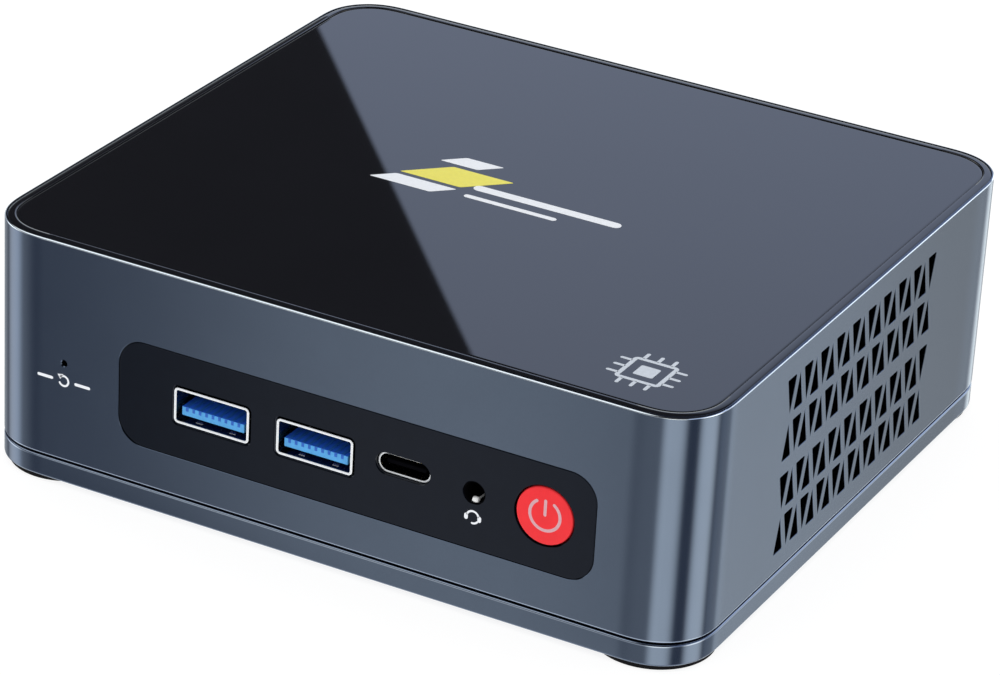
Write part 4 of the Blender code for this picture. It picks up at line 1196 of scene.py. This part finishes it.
class Sky:
    """Builds the world's light as a sum of soft lamps, each a patch of directions."""

    def __init__(self):
        world = bpy.data.worlds.new("studio")
        bpy.context.scene.world = world
        world.use_nodes = True
        world.cycles.sampling_method = "NONE"
        self.tree = world.node_tree
        self.direction = new_node(self.tree, "TexCoord").outputs["Generated"]
        self.height = component(self.tree, self.direction, "Z")
        flat = self.vector("MULTIPLY", self.direction, (1.0, 1.0, 0.0))
        self.heading = self.vector("NORMALIZE", flat)
        self.total = None

    def vector(self, operation, *values):
        return maths(self.tree, operation, *values, kind="VectorMath")

    def product(self, first, second):
        return maths(self.tree, "MULTIPLY", first, second)

    def band(self, low, high, soft, soft_top=None):
        """1 between two elevations in degrees, fading over soft degrees outside them."""
        top = high + (soft if soft_top is None else soft_top)
        rise = [sin(radians(max(-90, a))) for a in (low - soft, low)]
        fall = [sin(radians(min(90, a))) for a in (high, top)]
        over = ranged(self.tree, self.height, 0.0, 1.0, rise[0], rise[1] + 1e-4, smooth=True)
        under = ranged(self.tree, self.height, 1.0, 0.0, fall[0], fall[1] + 1e-4, smooth=True)
        return self.product(over, under)

    def add(self, mask, colour):
        inputs = {0: colour, "Scale": mask}
        light = new_node(self.tree, "VectorMath", inputs, operation="SCALE").outputs["Vector"]
        self.total = light if self.total is None else self.vector("ADD", self.total, light)

    def lamp(self, heading, half_width, soft, low, high, colour, rise=8):
        """A patch round one compass heading, in degrees anticlockwise from +X."""
        angle = radians(heading)
        facing = self.vector("DOT_PRODUCT", self.heading, (cos(angle), sin(angle), 0.0))
        outer = cos(radians(half_width + soft))
        inner = cos(radians(max(half_width - soft, 0.0)))
        side = ranged(self.tree, facing, 0.0, 1.0, outer, inner, smooth=True)
        self.add(self.product(side, self.band(low, high, rise)), colour)

    def card(self, normal, colour):
        """A card with one straight edge, on the side that the normal points to."""
        side_of = self.vector("DOT_PRODUCT", self.direction, tuple(normal))
        side = ranged(self.tree, side_of, 0.0, 1.0, -0.0008, 0.0008, smooth=True)
        self.add(self.product(side, self.band(21, 28, 13, 12)), colour)

    def finish(self):
        """White for the camera and for diffuse light, and the lamps for reflections."""
        path = new_node(self.tree, "LightPath")
        lit = blend(self.tree, path.outputs["Is Glossy Ray"], (0.98, 0.99, 1.0), self.total)
        seen = blend(self.tree, path.outputs["Is Camera Ray"], lit, (1.0, 1.0, 1.0))
        link(self.tree, seen, self.tree.nodes["Background"].inputs["Color"])


def camera_view():
    """The camera's place and turn: a long lens from the front right, above the lid."""
    azimuth = radians(27.27)
    elevation = radians(26.22)
    roll = radians(3.231)
    distance = 701.5 * MM
    target = Vector((-0.5, 0.0, 16.0)) * MM
    level = cos(elevation)
    back = Vector((sin(azimuth) * level, -cos(azimuth) * level, sin(elevation)))
    turn = back.to_track_quat("Z", "Y").to_matrix() @ Matrix.Rotation(roll, 3, "Z")
    return target + back * distance, turn


def add_camera():
    place, turn = camera_view()
    lens = bpy.data.cameras.new("camera")
    lens.lens = 157.6
    lens.sensor_width = 36.0
    lens.clip_start = 0.05
    camera = new_object("camera", lens)
    camera.matrix_world = Matrix.Translation(place) @ turn.to_4x4()
    bpy.context.scene.camera = camera


def card_edge():
    """The plane of directions whose reflection in the lid runs along the line between two points."""
    first = Vector((-60.3 * MM, 41.4 * MM, LID_HIGH.z))
    second = Vector((23.3 * MM, -54.4 * MM, LID_HIGH.z))
    eye = camera_view()[0]
    mirrored = Vector((eye.x, eye.y, 2 * LID_HIGH.z - eye.z))
    normal = (first - mirrored).cross(second - mirrored).normalized()
    return normal if normal.dot(Vector((1, 1, 0))) > 0 else -normal


def add_light():
    sky = Sky()
    warm = Vector((1.0, 0.96, 0.82))
    plain = Vector((1.0, 1.02, 1.0))
    cool = Vector((1.0, 1.07, 1.05))
    sky.add(sky.band(-90, 10, 12), Vector((0.24, 0.268, 0.32)))
    sky.add(sky.band(-90, -46, 6), Vector((1.3, 1.30, 1.25)))
    sky.add(sky.band(20, 90, 12), Vector((0.03, 0.03, 0.035)))
    for heading, half_width, soft, strength, tint in (
        (-118.2, 2.2, 2.4, 0.94, warm),
        (-93.1, 17.3, 14.6, 0.50, warm),
        (-58.9, 13.0, 14.3, 2.50, warm),
        (7.2, 11.8, 14.1, 2.80, warm),
        (48.0, 14.0, 6.0, 0.42, cool),
        (63.5, 5.0, 4.0, 0.78, cool),
        (82.0, 7.0, 4.0, 1.25, cool),
        (98.0, 20.0, 8.0, 0.30, cool),
        (144.7, 15.2, 12.3, 0.25, cool),
        (191.7, 12.2, 13.3, 1.50, plain),
        (-153.5, 14.1, 13.9, 0.59, warm),
    ):
        sky.lamp(heading, half_width, soft, -40, 6, tint * strength)
    sky.lamp(-150, 40, 12, 36, 66, plain * 1.3)
    sky.lamp(62, 14, 8, 4, 30, plain * 0.6, rise=5)
    sky.lamp(120, 18, 10, -8, 12, cool * 0.6, rise=6)
    sky.card(card_edge(), Vector((0.757, 0.894, 1.233)))
    sky.finish()


add_upper_shell()
add_lid_trim()
add_lid()
add_bottom_cover()
add_feet()
add_front_panel()
add_rear_panel()
for port in ("usb_a_front_left", "usb_a_front_right", "usb_a_rear"):
    add_usb_a(port)
add_usb_c()
add_audio_jack()
for port_side in ("left", "right"):
    add_hdmi(f"hdmi_{port_side}")
    add_lan(f"lan_{port_side}")
add_dc_inlet()
add_power_button()
add_lid_marks()
add_front_marks()
dress_kept_nodes()
add_floor()
add_light()
add_camera()
bpy.context.scene.view_settings.view_transform = "Standard"
